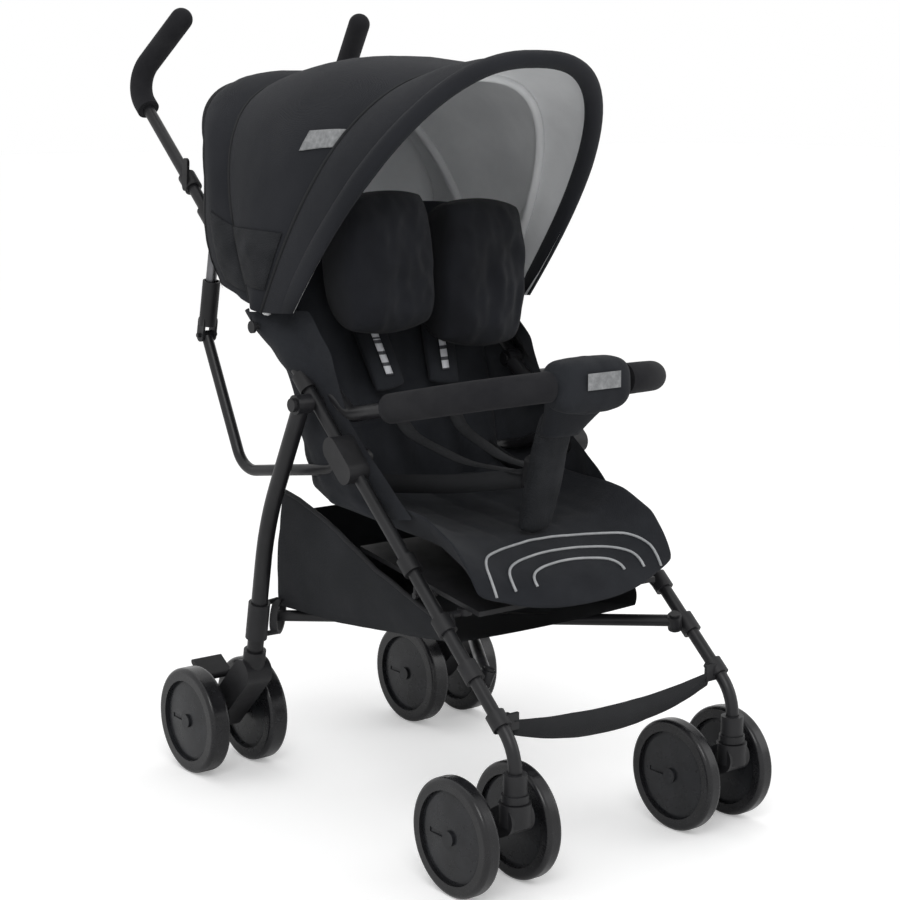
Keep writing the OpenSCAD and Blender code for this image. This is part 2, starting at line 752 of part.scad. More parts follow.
module rear_wheel(side, place) {
    translate([-side * rear_x + place * rear_pair / 2, rear_axle_y, rear_axle_z])
        scale_x(place) wheel(rear_wheel_d, rear_wheel_w, rear_hub_half, 17);
}
// Turns a wheel's slotted face away from its fork
module scale_x(place) {
    if (place < 0) mirror([1, 0, 0]) children();
    else children();
}
module front_wheel_right_outer() { color(c_plastic) placed() front_wheel(1, -1); }
module front_wheel_right_inner() { color(c_plastic) placed() front_wheel(1, 1); }
module front_wheel_left_inner() { color(c_plastic) placed() front_wheel(-1, -1); }
module front_wheel_left_outer() { color(c_plastic) placed() front_wheel(-1, 1); }
module rear_wheel_right_outer() { color(c_plastic) placed() rear_wheel(1, -1); }
module rear_wheel_right_inner() { color(c_plastic) placed() rear_wheel(1, 1); }
module rear_wheel_left_inner() { color(c_plastic) placed() rear_wheel(-1, -1); }
module rear_wheel_left_outer() { color(c_plastic) placed() rear_wheel(-1, 1); }

// ---- Basket ----
basket_t = 3;
basket_low_rear = [165, 254];
basket_low_front = [-190, 267];
module basket() {
    outer = [
        basket_low_rear, [170, 378], [62, 364], [40, 330], [-13, 326], [-84, 318], [-176, 296],
        basket_low_front
    ];
    inner = [
        basket_low_rear + [-basket_t, basket_t], [166, 420], [-150, 420],
        [-172, 296], basket_low_front + [basket_t + 2, basket_t]
    ];
    color(c_fabric) placed() {
        difference() {
            side_profile(outer, -basket_half, basket_half);
            side_profile(inner, -basket_half + basket_t, basket_half - basket_t);
        }
        both() basket_loop(214);
        both() basket_loop(310);
    }
}
// A loop round the side tube, with a tape down to the basket's rim
module basket_loop(s) {
    foot = side_p(s, side_x - tube_r - 2);
    rim = [-basket_half - 1.5, foot[1], 300];
    difference() {
        union() {
            on_side(s) rotate([90, 0, 0])
                cylinder(d = side_tube_d + 5, h = 16, center = true);
            straight(foot, rim, 5);
        }
        tube_bore(s, 40);
    }
}

// ---- Reclining back: cushion, bolsters and shoulder pads ----
back_low = [104, 406];
back_lean = 14.5;
back_len = 392;
// Local frame of the back: X across, Y to its rear face, Z up along it
module on_back(up = 0) {
    translate([0, back_low[0], back_low[1]]) rotate([-back_lean, 0, 0]) translate([0, 0, up]) children();
}
// A plate with two rounded upper and lower ends, standing in XZ, thickness along -Y
module pad(x1, x2, z1, z2, r, t) {
    rotate([90, 0, 0]) linear_extrude(t) {
        for (x = [x1 + r, x2 - r])
            for (z = [z1 + r, z2 - r])
                translate([x, z]) circle(r);
        translate([x1, z1 + r]) square([x2 - x1, z2 - z1 - 2 * r]);
        translate([x1 + r, z1]) square([x2 - x1 - 2 * r, z2 - z1]);
    }
}
module back_cushion() {
    color(c_fabric) placed() on_back() {
        pad(-back_half, back_half, 0, back_len, 30, back_thick);
    }
    color(c_fabric) placed() both() back_hanger();
}
// Loop that hangs the cushion on the lower run of the back frame's tube
module back_hanger() {
    run = unit(back_bend - back_knee);
    at = back_knee + run * (110 - back_knee[1]) / run[1];
    difference() {
        union() {
            straight(at - 9 * run, at + 9 * run, back_tube_d + 6);
            straight(at + [6, 0, 0], [-back_half + 6, at[1] - 6, at[2]], 9);
        }
        straight(at - 12 * run, at + 12 * run, back_tube_d + 2 * fit);
    }
}
module back_bolsters() {
    color(c_fabric) placed() on_back(216) translate([0, -back_thick - fit, 0]) both()
        pad(-back_half - 6, -14, 0, back_len - 216 + 4, 40, bolster_thick);
}
module shoulder_pads() {
    color(c_fabric) placed() on_back(96) translate([0, -back_thick - fit, 0]) both()
        pad(-70, -30, 0, 114, 8, 12);
}

// ---- Canopy ----
canopy_y = side_y(canopy_s);
canopy_z = side_z(canopy_s);
strip_t = 2.5;
strip_w = 12;
layer = fabric_t + strip_t + 3 * fit;
hoop_inset = fabric_t + 2 * fit;
// Three nested layers, the front gore's outermost
front_half = canopy_half;
middle_half = front_half - layer;
rear_half = middle_half - layer;
rear_rise = crown_rise;
middle_rise = rear_rise + layer;
front_rise = middle_rise + layer;
arch_r = 150;
wall_low = 46;
hem_rise = 455;
tail_rise = 396;
// Angles about the canopy's pivot, from straight back
angle_tail = 48;
angle_tail_seam = 62;
angle_rear_hoop = 66;
angle_rear_end = 96;
angle_middle = 94;
angle_front = 120;
angle_hem = 134;
module at_canopy() {
    translate([0, canopy_y, canopy_z]) children();
}
module canopy_profile(rise, half, r) {
    translate([0, -half]) square([rise - r, 2 * half]);
    translate([0, -half + r]) square([rise, 2 * half - 2 * r]);
    for (y = [-1, 1])
        translate([rise - r, y * (half - r)]) circle(r, $fn = 64);
}
module band(rise, half, t) {
    difference() {
        canopy_profile(rise, half, arch_r);
        canopy_profile(rise - t, half - t, arch_r - t);
        translate([-1, -half - 1]) square([wall_low + 1, 2 * half + 2]);
    }
}
// Surface of revolution about the pivot, between two angles
module gore(rise, half, from, to) {
    rotate([90, 0, 90]) rotate([0, 0, from]) rotate_extrude(angle = to - from, $fn = 96)
        band(rise, half, fabric_t);
}
// One arch of a gore as [x, radius] points
arch_steps = 14;
function arch(rise, half, r) = [
    [-half, wall_low],
    for (i = [0 : arch_steps]) let (a = 90 * i / arch_steps)
        [-half + r - r * cos(a), rise - r + r * sin(a)],
    for (i = [0 : arch_steps]) let (a = 90 - 90 * i / arch_steps)
        [half - r + r * cos(a), rise - r + r * sin(a)],
    [half, wall_low]
];
function turned(points, angle) = [for (p = points) [p[0], p[1] * cos(angle), p[1] * sin(angle)]];
// Closed cloth shell through a list of arches, each given as [angle, rise]
module flare(rows, half) {
    last = len(rows) - 1;
    n = len(arch(rows[0][1], half, arch_r));
    points = [for (k = [0, 1]) for (row = rows)
        each turned(arch(row[1] - k * fabric_t, half - k * fabric_t, arch_r - k * fabric_t), row[0])];
    skin = (last + 1) * n;
    function at(k, j, i) = k * skin + j * n + i;
    function quad(a, b, c, d) = [[a, b, c], [a, c, d]];
    faces = [
        for (j = [0 : last - 1]) for (i = [0 : n - 2]) each concat(
            quad(at(0, j, i), at(0, j, i + 1), at(0, j + 1, i + 1), at(0, j + 1, i)),
            quad(at(1, j, i), at(1, j + 1, i), at(1, j + 1, i + 1), at(1, j, i + 1))),
        for (i = [0 : n - 2]) each concat(
            quad(at(0, 0, i), at(1, 0, i), at(1, 0, i + 1), at(0, 0, i + 1)),
            quad(at(0, last, i), at(0, last, i + 1), at(1, last, i + 1), at(1, last, i))),
        for (j = [0 : last - 1]) each concat(
            quad(at(0, j, 0), at(0, j + 1, 0), at(1, j + 1, 0), at(1, j, 0)),
            quad(at(0, j, n - 1), at(1, j, n - 1), at(1, j + 1, n - 1), at(0, j + 1, n - 1)))
    ];
    polyhedron(points, faces);
}
// Flat strip hoop lying in a plane through the pivot
module hoop(rise, half, r, angle, eye) {
    rotate([90, 0, 90]) rotate([0, 0, angle]) difference() {
        union() {
            rotate([90, 0, 0]) linear_extrude(strip_w, center = true) difference() {
                canopy_profile(rise, half, r);
                canopy_profile(rise - strip_t, half - strip_t, r - strip_t);
            }
            for (x = [-1, 1])
                translate([0, 0, x * (half - strip_t / 2)]) cylinder(d = 22, h = strip_t, center = true);
        }
        translate([0, 0, -half - 1]) cylinder(d = eye, h = 2 * half + 2);
    }
}
canopy_pin_d = 8;
canopy_eye = canopy_pin_d + 2 * fit;
module canopy_rear() {
    steps = 8;
    turn = angle_rear_end - angle_tail_seam;
    color(c_fabric) placed() at_canopy() flare([
        [angle_tail, tail_rise],
        [(angle_tail + angle_tail_seam) / 2, (tail_rise + rear_rise) / 2],
        for (i = [0 : steps]) [angle_tail_seam + turn * i / steps, rear_rise]
    ], rear_half);
}
module canopy_middle() {
    color(c_fabric) placed() at_canopy() gore(middle_rise, middle_half, angle_middle, angle_front + 1);
}
module canopy_front() {
    color(c_fabric) placed() at_canopy()
        flare([for (f = [0 : 0.25 : 1])
            [angle_front + (angle_hem - angle_front) * f, front_rise + 4 + (hem_rise - front_rise - 4) * f]
        ], front_half);
}
module canopy_hoop_rear() {
    color(c_frame) placed() at_canopy() hoop(rear_rise - hoop_inset, rear_half - hoop_inset,
        arch_r - hoop_inset, angle_rear_hoop, canopy_eye);
}
module canopy_hoop_middle() {
    color(c_frame) placed() at_canopy() hoop(middle_rise - hoop_inset, middle_half - hoop_inset,
        arch_r - hoop_inset, angle_front - 2, canopy_eye);
}
module canopy_hoop_front() {
    color(c_frame) placed() at_canopy() hoop(hem_rise - 30, front_half - hoop_inset,
        arch_r - hoop_inset, angle_hem - 3, canopy_eye);
}
// Pivot pins on the side tubes, and the clips that hold the canopy's rear edge
tail_clip_s = 925;
module canopy_clamp() {
    clamp_ring(canopy_s, 26, 2.5);
    difference() {
        translate([-side_x, canopy_y, canopy_z]) x_rod(-canopy_half + side_x - 5, -tube_r - 1, canopy_pin_d);
        tube_bore(canopy_s);
    }
    translate([-side_x, canopy_y, canopy_z])
        x_rod(-canopy_half + side_x - 5, -canopy_half + side_x - 1.2, canopy_pin_d + 8);
    difference() {
        union() {
            clamp_ring(tail_clip_s, 24, 4);
            on_side(tail_clip_s, -tube_r - 2) translate([0, -6, 0]) rotate([53, 0, 0]) tail_arm();
        }
        tube_bore(tail_clip_s);
    }
}
module tail_arm() {
    translate([0, 15, 0]) link(44, 12, 4);
}
module canopy_clamps() { color(c_plastic) placed() both() canopy_clamp(); }

// ---- Bumper bar ----
bumper_s = 560;
bumper_up = 8;
bumper_x = side_x - 20;
function bumper_z() = bumper_front_z;
bumper_bend = 88;
bumper_pin_d = 8;
bumper_eye = side_p(bumper_s, bumper_x, bumper_up);
bumper_dip = [-bumper_x, 14, 517];
bumper_turn = [-bumper_x, -bumper_reach, bumper_front_z];
bumper_side = unit(bumper_turn - bumper_dip);
cover_w = 118;
function across(p) = [-p[0], p[1], p[2]];
module bumper_bar() {
    color(c_frame) placed() difference() {
        union() {
            hollow([bumper_eye + 9 * unit(bumper_dip - bumper_eye), bumper_dip, bumper_turn,
                across(bumper_turn), across(bumper_dip),
                across(bumper_eye) + 9 * unit(across(bumper_dip) - across(bumper_eye))],
                bumper_d, [26, bumper_bend, bumper_bend, 26]);
            both() translate(bumper_eye) x_rod(-7, 7, 24);
        }
        both() translate(bumper_eye) x_rod(-9, 9, bumper_pin_d + 2 * fit);
    }
}
module bumper_foam() {
    start = bumper_turn - 185 * bumper_side;
    end = [-cover_w / 2 - 2, -bumper_reach, bumper_front_z];
    color(c_foam) placed() both() difference() {
        bar([start, bumper_turn, end], bumper_foam_d, bumper_bend);
        bar(longer([start, bumper_turn, end], 2), bumper_d + 2 * fit, bumper_bend);
    }
}
module bumper_cover() {
    color(c_fabric) placed() translate([0, -bumper_reach, bumper_front_z]) rotate([0, 90, 0])
        difference() {
            rotate_extrude() polygon([
                [0, -cover_w / 2], [24, -cover_w / 2], [27, -cover_w / 2 + 8], [28.5, -20],
                [28.5, 20], [27, cover_w / 2 - 8], [24, cover_w / 2], [0, cover_w / 2]
            ]);
            cylinder(d = bumper_d + 2 * fit, h = cover_w + 2, center = true);
        }
}
module bumper_bracket() {
    difference() {
        union() {
            clamp_ring(bumper_s, 26, 4);
            translate(bumper_eye) {
                x_rod(-16, -7.5, 18);
                x_rod(-9, 7.5, bumper_pin_d);
                x_rod(7.5, 10.5, bumper_pin_d + 6);
            }
        }
        tube_bore(bumper_s);
    }
}
module bumper_brackets() { color(c_plastic) placed() both() bumper_bracket(); }

main_tube_right();
main_tube_left();
handle_grips();
side_hubs();
frame_bolts();
top_brackets();
recline_sleeves();
canopy_clamps();
seat_clamps();
strap_brackets();
footrest_strap();
cross_tube_lugs();
fork_sockets();
seat_cushion();
seat_board();
crotch_pad();
buckle();
buckle_button();
basket();
bumper_brackets();
canopy_rear();
canopy_hoop_rear();
rear_leg_right();
rear_leg_left();
rear_housing_right();
rear_housing_left();
rear_axle_right();
rear_axle_left();
guide_ring_right();
guide_ring_left();
brake_lever_right();
brake_lever_left();
front_fork_right();
front_fork_left();
front_axle_right();
front_axle_left();
front_wheel_right_outer();
front_wheel_right_inner();
front_wheel_left_inner();
front_wheel_left_outer();
rear_wheel_right_outer();
rear_wheel_right_inner();
rear_wheel_left_inner();
rear_wheel_left_outer();
cross_tube_right();
cross_tube_left();
back_frame();
back_cushion();
back_bolsters();
shoulder_pads();
recline_sliders();
canopy_hoop_middle();
canopy_middle();
canopy_hoop_front();
canopy_front();
bumper_bar();
bumper_foam();
bumper_cover();
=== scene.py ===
# %% [markdown]
# # Folding twin-wheel buggy
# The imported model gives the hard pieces: tubes, forks, wheels, hubs and brackets.
# This script gives them their finishes, and makes the soft goods: canopy, seat, back,
# bolsters, pads, basket, straps and labels.

import json
import math

import bpy
from mathutils import Matrix, Vector, noise
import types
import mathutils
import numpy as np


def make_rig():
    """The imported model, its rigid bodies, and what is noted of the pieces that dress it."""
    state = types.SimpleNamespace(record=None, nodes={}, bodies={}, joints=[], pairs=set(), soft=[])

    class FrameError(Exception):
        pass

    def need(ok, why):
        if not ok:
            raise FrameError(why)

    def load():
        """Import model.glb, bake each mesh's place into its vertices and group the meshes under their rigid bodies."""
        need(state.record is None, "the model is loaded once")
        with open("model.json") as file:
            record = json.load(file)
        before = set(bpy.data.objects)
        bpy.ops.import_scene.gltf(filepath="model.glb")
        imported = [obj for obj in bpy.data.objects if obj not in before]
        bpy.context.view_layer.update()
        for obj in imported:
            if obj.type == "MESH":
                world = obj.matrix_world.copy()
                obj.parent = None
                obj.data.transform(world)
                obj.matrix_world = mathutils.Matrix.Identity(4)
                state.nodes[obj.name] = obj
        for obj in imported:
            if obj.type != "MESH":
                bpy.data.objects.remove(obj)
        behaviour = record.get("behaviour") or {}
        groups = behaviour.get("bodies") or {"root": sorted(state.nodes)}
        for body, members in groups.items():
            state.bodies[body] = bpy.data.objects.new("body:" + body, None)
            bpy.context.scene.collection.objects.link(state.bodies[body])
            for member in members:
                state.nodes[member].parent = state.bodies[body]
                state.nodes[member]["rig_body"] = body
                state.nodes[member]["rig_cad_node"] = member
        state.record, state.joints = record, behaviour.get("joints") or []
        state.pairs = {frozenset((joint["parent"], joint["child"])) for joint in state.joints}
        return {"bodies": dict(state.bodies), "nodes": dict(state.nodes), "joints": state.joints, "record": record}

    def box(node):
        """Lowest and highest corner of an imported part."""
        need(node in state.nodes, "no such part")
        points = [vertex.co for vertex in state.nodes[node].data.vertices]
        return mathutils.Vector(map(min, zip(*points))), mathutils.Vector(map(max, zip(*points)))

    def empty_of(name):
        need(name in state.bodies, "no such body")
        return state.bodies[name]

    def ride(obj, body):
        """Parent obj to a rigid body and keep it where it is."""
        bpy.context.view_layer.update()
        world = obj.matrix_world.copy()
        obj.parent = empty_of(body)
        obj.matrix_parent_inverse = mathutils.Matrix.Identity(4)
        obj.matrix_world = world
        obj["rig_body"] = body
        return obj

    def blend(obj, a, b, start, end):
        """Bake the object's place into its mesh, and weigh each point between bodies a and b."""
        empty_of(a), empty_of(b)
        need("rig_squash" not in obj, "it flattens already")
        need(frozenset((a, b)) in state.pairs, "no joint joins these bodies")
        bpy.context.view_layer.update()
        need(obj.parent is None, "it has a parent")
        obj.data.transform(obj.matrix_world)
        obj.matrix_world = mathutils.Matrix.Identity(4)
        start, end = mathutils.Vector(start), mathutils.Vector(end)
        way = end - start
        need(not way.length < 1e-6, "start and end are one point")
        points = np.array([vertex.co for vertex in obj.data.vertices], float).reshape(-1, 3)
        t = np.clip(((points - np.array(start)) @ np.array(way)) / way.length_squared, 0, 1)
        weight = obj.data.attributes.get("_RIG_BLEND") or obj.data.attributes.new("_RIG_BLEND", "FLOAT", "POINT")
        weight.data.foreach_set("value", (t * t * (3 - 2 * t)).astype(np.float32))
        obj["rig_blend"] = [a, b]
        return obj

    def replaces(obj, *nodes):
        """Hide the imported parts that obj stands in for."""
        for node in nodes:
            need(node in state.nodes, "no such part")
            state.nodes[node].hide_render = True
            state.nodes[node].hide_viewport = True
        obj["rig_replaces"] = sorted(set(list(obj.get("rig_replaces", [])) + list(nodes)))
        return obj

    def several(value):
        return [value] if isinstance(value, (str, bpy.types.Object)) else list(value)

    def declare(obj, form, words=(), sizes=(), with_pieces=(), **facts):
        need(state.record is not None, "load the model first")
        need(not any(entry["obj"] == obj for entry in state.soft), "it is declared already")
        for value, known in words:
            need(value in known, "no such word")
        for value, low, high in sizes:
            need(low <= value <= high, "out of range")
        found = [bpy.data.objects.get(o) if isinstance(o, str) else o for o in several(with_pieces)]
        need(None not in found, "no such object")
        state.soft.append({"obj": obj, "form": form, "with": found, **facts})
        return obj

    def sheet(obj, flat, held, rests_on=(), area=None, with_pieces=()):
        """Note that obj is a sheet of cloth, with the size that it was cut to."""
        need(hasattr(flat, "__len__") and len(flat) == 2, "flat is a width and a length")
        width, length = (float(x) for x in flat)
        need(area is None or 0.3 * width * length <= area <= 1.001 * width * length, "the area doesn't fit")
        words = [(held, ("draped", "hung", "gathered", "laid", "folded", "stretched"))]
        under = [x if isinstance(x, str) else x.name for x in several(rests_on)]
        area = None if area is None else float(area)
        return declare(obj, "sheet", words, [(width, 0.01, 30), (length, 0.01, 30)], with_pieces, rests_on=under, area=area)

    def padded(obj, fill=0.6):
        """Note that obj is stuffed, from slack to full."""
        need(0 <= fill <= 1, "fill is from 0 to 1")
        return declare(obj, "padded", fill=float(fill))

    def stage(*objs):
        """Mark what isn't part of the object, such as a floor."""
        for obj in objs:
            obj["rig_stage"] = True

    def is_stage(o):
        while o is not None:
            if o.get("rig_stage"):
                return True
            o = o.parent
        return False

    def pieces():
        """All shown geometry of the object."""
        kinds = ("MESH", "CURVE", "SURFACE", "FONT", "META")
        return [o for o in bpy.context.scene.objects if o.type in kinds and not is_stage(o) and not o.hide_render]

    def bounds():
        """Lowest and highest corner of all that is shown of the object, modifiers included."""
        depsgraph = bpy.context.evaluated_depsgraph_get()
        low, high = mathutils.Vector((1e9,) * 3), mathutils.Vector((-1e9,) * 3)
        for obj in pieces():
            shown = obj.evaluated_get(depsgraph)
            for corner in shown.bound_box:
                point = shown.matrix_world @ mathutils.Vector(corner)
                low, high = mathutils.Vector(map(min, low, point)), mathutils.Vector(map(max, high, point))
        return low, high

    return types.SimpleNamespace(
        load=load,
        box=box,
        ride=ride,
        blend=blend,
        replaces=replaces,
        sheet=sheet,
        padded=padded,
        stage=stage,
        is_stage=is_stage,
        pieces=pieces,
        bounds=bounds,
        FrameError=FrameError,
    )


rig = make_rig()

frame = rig.load()
nodes = frame["nodes"]
start_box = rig.bounds()
print("nodes", len(nodes), "bodies", len(frame["bodies"]))

# %% [markdown]
# Places below are in millimetres, measured from the middle of the wheelbase.
# `at` moves them into the model's own frame, in metres.

# %% Places
MIDDLE = 75.13  # how far the footprint's centre lies behind the middle of the wheelbase


def at(x, y, z):
    return Vector((x, y - MIDDLE, z)) / 1000


PIVOT = at(0, 159.0, 617.4)  # canopy pivot, on the centre plane
noise.seed_set(7)


def crumple(p, scale, depth, seed=0.0):
    """Small folds: a signed displacement for the point p."""
    q = p * scale + Vector((seed, seed * 0.7, seed * 1.3))
    return depth * (noise.noise(q) + 0.5 * noise.noise(q * 2.3))


# %% [markdown]
# ## Shader maths
# `Wire` wraps a socket, so that shader maths reads as plain arithmetic.

# %% Wire
class Wire:
    def __init__(self, mat, socket):
        self.mat, self.socket = mat, socket

    def node(self, kind, inputs=(), out=0, **settings):
        n = self.mat.node_tree.nodes.new(kind)
        for key, value in settings.items():
            setattr(n, key, value)
        for key, value in dict(inputs).items():
            if isinstance(value, Wire):
                self.mat.node_tree.links.new(value.socket, n.inputs[key])
            else:
                n.inputs[key].default_value = value
        return Wire(self.mat, n.outputs[out])

    def math(self, op, *others):
        inputs = {0: self}
        for i, other in enumerate(others):
            inputs[i + 1] = other
        return self.node("ShaderNodeMath", inputs, operation=op)

    def __add__(self, o):
        return self.math("ADD", o)

    def __sub__(self, o):
        return self.math("SUBTRACT", o)

    def __mul__(self, o):
        return self.math("MULTIPLY", o)

    def __truediv__(self, o):
        return self.math("DIVIDE", o)

    def __rsub__(self, o):
        return (self * -1.0) + o

    __radd__, __rmul__ = __add__, __mul__

    def sin(self):
        return self.math("SINE")

    def abs(self):
        return self.math("ABSOLUTE")

    def clamp(self, low=0.0, high=1.0):
        return self.math("MAXIMUM", low).math("MINIMUM", high)

    def greater(self, o):
        return self.math("GREATER_THAN", o)

    def noise(self, scale, detail=3.0, rough=0.55):
        return self.node(
            "ShaderNodeTexNoise", {"Vector": self, "Scale": scale, "Detail": detail, "Roughness": rough}
        )

    def part(self, i):
        return self.node("ShaderNodeSeparateXYZ", {0: self}, out=i)

    def ramp(self, low, high):
        """Colour between two colours, as this value goes from 0 to 1."""
        return self.node(
            "ShaderNodeMix",
            {0: self, 6: (*low, 1), 7: (*high, 1)},
            out=2,
            data_type="RGBA",
        )


def finish_of(name, color, rough, bump=None, color_wire=None, rough_wire=None, metal=0.0, gloss=0.3,
              sheen_weight=0.0):
    """A principled material; bump is (function of the coordinates, distance)."""
    mat = bpy.data.materials.new(name)
    mat.use_nodes = True
    shader = mat.node_tree.nodes["Principled BSDF"]
    shader.inputs["Base Color"].default_value = (*color, 1)
    shader.inputs["Roughness"].default_value = rough
    shader.inputs["Metallic"].default_value = metal
    shader.inputs["Specular IOR Level"].default_value = gloss
    shader.inputs["Sheen Weight"].default_value = sheen_weight
    start = Wire(mat, None)
    where = start.node("ShaderNodeTexCoord", out="Object")
    if color_wire:
        mat.node_tree.links.new(color_wire(where).socket, shader.inputs["Base Color"])
    if rough_wire:
        mat.node_tree.links.new(rough_wire(where).socket, shader.inputs["Roughness"])
    if bump:
        height, distance = bump
        n = where.node("ShaderNodeBump", {"Height": height(where), "Distance": distance, "Strength": 0.6})
        mat.node_tree.links.new(n.socket, shader.inputs["Normal"])
    return mat


# %% [markdown]
# ## Finishes
# Woven cloth is two crossed sets of threads, with a slow mottling for wear.

# %% Finishes
def weave(pitch):
    k = 2 * math.pi / pitch

    def height(w):
        x, y, z = w.part(0), w.part(1), w.part(2)
        a = ((x + y * 0.6) * k).sin()
        b = ((z + y * 0.5) * k).sin()
        return a * b * 0.5 + w.noise(900.0, 2.0) * 0.6 + w.noise(60.0, 3.0) * 1.2

    return height


def mottled(low, high, scale=14.0):
    return lambda w: ((w.noise(scale, 4.0) - 0.35) * 2.2).clamp().ramp(low, high)


def scuffed(low, high, scale=30.0):
    return lambda w: (w.noise(scale, 4.0) - 0.3).clamp() * (high - low) * 2.0 + low


BLACK = (0.013, 0.013, 0.015)
cloth = finish_of(
    "Cushion cloth", (0.018, 0.019, 0.022), 0.86, (weave(0.0016), 0.0004),
    mottled((0.012, 0.013, 0.016), (0.023, 0.025, 0.029)), gloss=0.12, sheen_weight=0.04,
)
puffy_cloth = finish_of(
    "Bolster cloth", (0.02, 0.021, 0.026), 0.8, (weave(0.0012), 0.0004),
    mottled((0.007, 0.0075, 0.009), (0.015, 0.016, 0.02), 9.0), gloss=0.1, sheen_weight=0.04,
)
canopy_cloth = finish_of(
    "Canopy cloth", (0.03, 0.033, 0.039), 0.8, (weave(0.0011), 0.0003),
    mottled((0.013, 0.014, 0.017), (0.02, 0.021, 0.025), 6.0), gloss=0.12, sheen_weight=0.03,
)
lining = finish_of(
    "Canopy lining", (0.5, 0.51, 0.52), 0.6, (weave(0.0014), 0.0003),
    mottled((0.68, 0.69, 0.7), (0.84, 0.85, 0.86), 10.0),
)
tape = finish_of("Binding tape", (0.02, 0.021, 0.024), 0.75, (weave(0.001), 0.0003),
    mottled((0.009, 0.0095, 0.011), (0.014, 0.015, 0.017)))
mesh_cloth = finish_of("Pocket mesh", (0.013, 0.014, 0.016), 0.9, (weave(0.003), 0.0009),
    mottled((0.009, 0.01, 0.012), (0.02, 0.021, 0.024), 30.0))
basket_cloth = finish_of("Basket cloth", (0.012, 0.013, 0.015), 0.9, (weave(0.002), 0.0004),
    mottled((0.009, 0.01, 0.012), (0.016, 0.017, 0.02)))
piping = finish_of("Light piping", (0.36, 0.37, 0.38), 0.6, (weave(0.001), 0.0002),
    mottled((0.3, 0.31, 0.32), (0.42, 0.43, 0.44), 60.0))
label_cloth = finish_of("Bare label", (0.3, 0.31, 0.32), 0.7, (weave(0.0012), 0.0002),
    mottled((0.17, 0.175, 0.18), (0.3, 0.305, 0.31), 160.0))
reflective = finish_of(
    "Bright strip", (0.55, 0.56, 0.58), 0.4, (weave(0.001), 0.0002),
    lambda w: (((w.part(2) * 420.0).sin() + (w.part(2) * 910.0).sin() * 0.6).greater(-0.35)
               .ramp((0.06, 0.062, 0.07), (0.62, 0.63, 0.66))),
)
paint = finish_of(
    "Frame paint", BLACK, 0.36, (lambda w: w.noise(700.0, 2.0), 0.00008),
    mottled((0.009, 0.009, 0.01), (0.016, 0.016, 0.018), 20.0), scuffed(0.3, 0.46),
)
plastic = finish_of(
    "Black plastic", BLACK, 0.5, (lambda w: w.noise(1500.0, 2.0), 0.00012),
    mottled((0.009, 0.009, 0.01), (0.017, 0.017, 0.019), 25.0), scuffed(0.42, 0.6),
)
wheel_plastic = finish_of(
    "Wheel disc", BLACK, 0.36, (lambda w: w.noise(500.0, 2.0), 0.0001),
    mottled((0.011, 0.0115, 0.013), (0.021, 0.022, 0.025), 35.0), scuffed(0.24, 0.36, 60.0), gloss=0.25,
)
tyre = finish_of(
    "Tyre", (0.014, 0.014, 0.015), 0.34, (lambda w: w.noise(300.0, 3.0), 0.00015),
    mottled((0.008, 0.008, 0.009), (0.015, 0.015, 0.017), 40.0), scuffed(0.2, 0.34, 80.0), gloss=0.35,
)
foam = finish_of(
    "Grip foam", (0.026, 0.026, 0.028), 0.88, (lambda w: w.noise(1400.0, 3.0), 0.0003),
    mottled((0.012, 0.012, 0.014), (0.02, 0.02, 0.022), 30.0), gloss=0.12, sheen_weight=0.03,
)
steel = finish_of(
    "Bright steel", (0.6, 0.6, 0.62), 0.25, (lambda w: w.noise(400.0, 2.0), 0.00004),
    mottled((0.5, 0.5, 0.52), (0.66, 0.66, 0.68), 40.0), scuffed(0.18, 0.35), metal=1.0,
)
satin = finish_of(
    "Satin steel", (0.16, 0.16, 0.17), 0.4, (lambda w: w.noise(400.0, 2.0), 0.00004),
    mottled((0.13, 0.13, 0.14), (0.2, 0.2, 0.21), 40.0), scuffed(0.32, 0.46), metal=1.0,
)
button_red = finish_of("Button", (0.3, 0.02, 0.02), 0.4, (lambda w: w.noise(600.0, 2.0), 0.0001),
    mottled((0.25, 0.015, 0.015), (0.35, 0.03, 0.03), 90.0))
print("finishes", len(bpy.data.materials))

# %% [markdown]
# ## Hard pieces
# Every CAD node takes a finish by its name; a wheel takes two, disc and tyre.

# %% Finish the hard pieces
by_name = {
    "main_tube": paint, "rear_leg": paint, "cross_tube": paint, "back_frame": paint,
    "canopy_hoop": paint, "bumper_bar": paint, "handle_grips": foam, "bumper_foam": foam,
    "frame_bolts": plastic, "recline_sleeves": satin, "rear_axle": wheel_plastic,
    "front_axle": wheel_plastic, "buckle_button": button_red,
}


def give(obj, mat):
    obj.data.materials.clear()
    obj.data.materials.append(mat)


for name, obj in nodes.items():
    keys = [k for k in by_name if name.startswith(k)]
    give(obj, by_name[max(keys, key=len)] if keys else plastic)
    if "lugs" in name:
        give(obj, plastic)


def two_tone_wheel(obj, seat_r):
    """Faces further than seat_r from the wheel's axle line are tyre."""
    low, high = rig.box(obj.name) if obj.name in nodes else (None, None)
    give(obj, wheel_plastic)
    obj.data.materials.append(tyre)
    cy, cz = (low[1] + high[1]) / 2, (low[2] + high[2]) / 2
    for face in obj.data.polygons:
        c = face.center
        if math.hypot(c.y - cy, c.z - cz) > seat_r:
            face.material_index = 1


for name, obj in nodes.items():
    if "wheel" in name:
        two_tone_wheel(obj, 0.0555)
print("hard pieces finished")

# %% [markdown]
# ## Mesh helpers
# A soft piece is a grid of points. `cloth_grid` makes one surface from rows of points,
# and `pillow` closes two such surfaces into a stuffed pad.

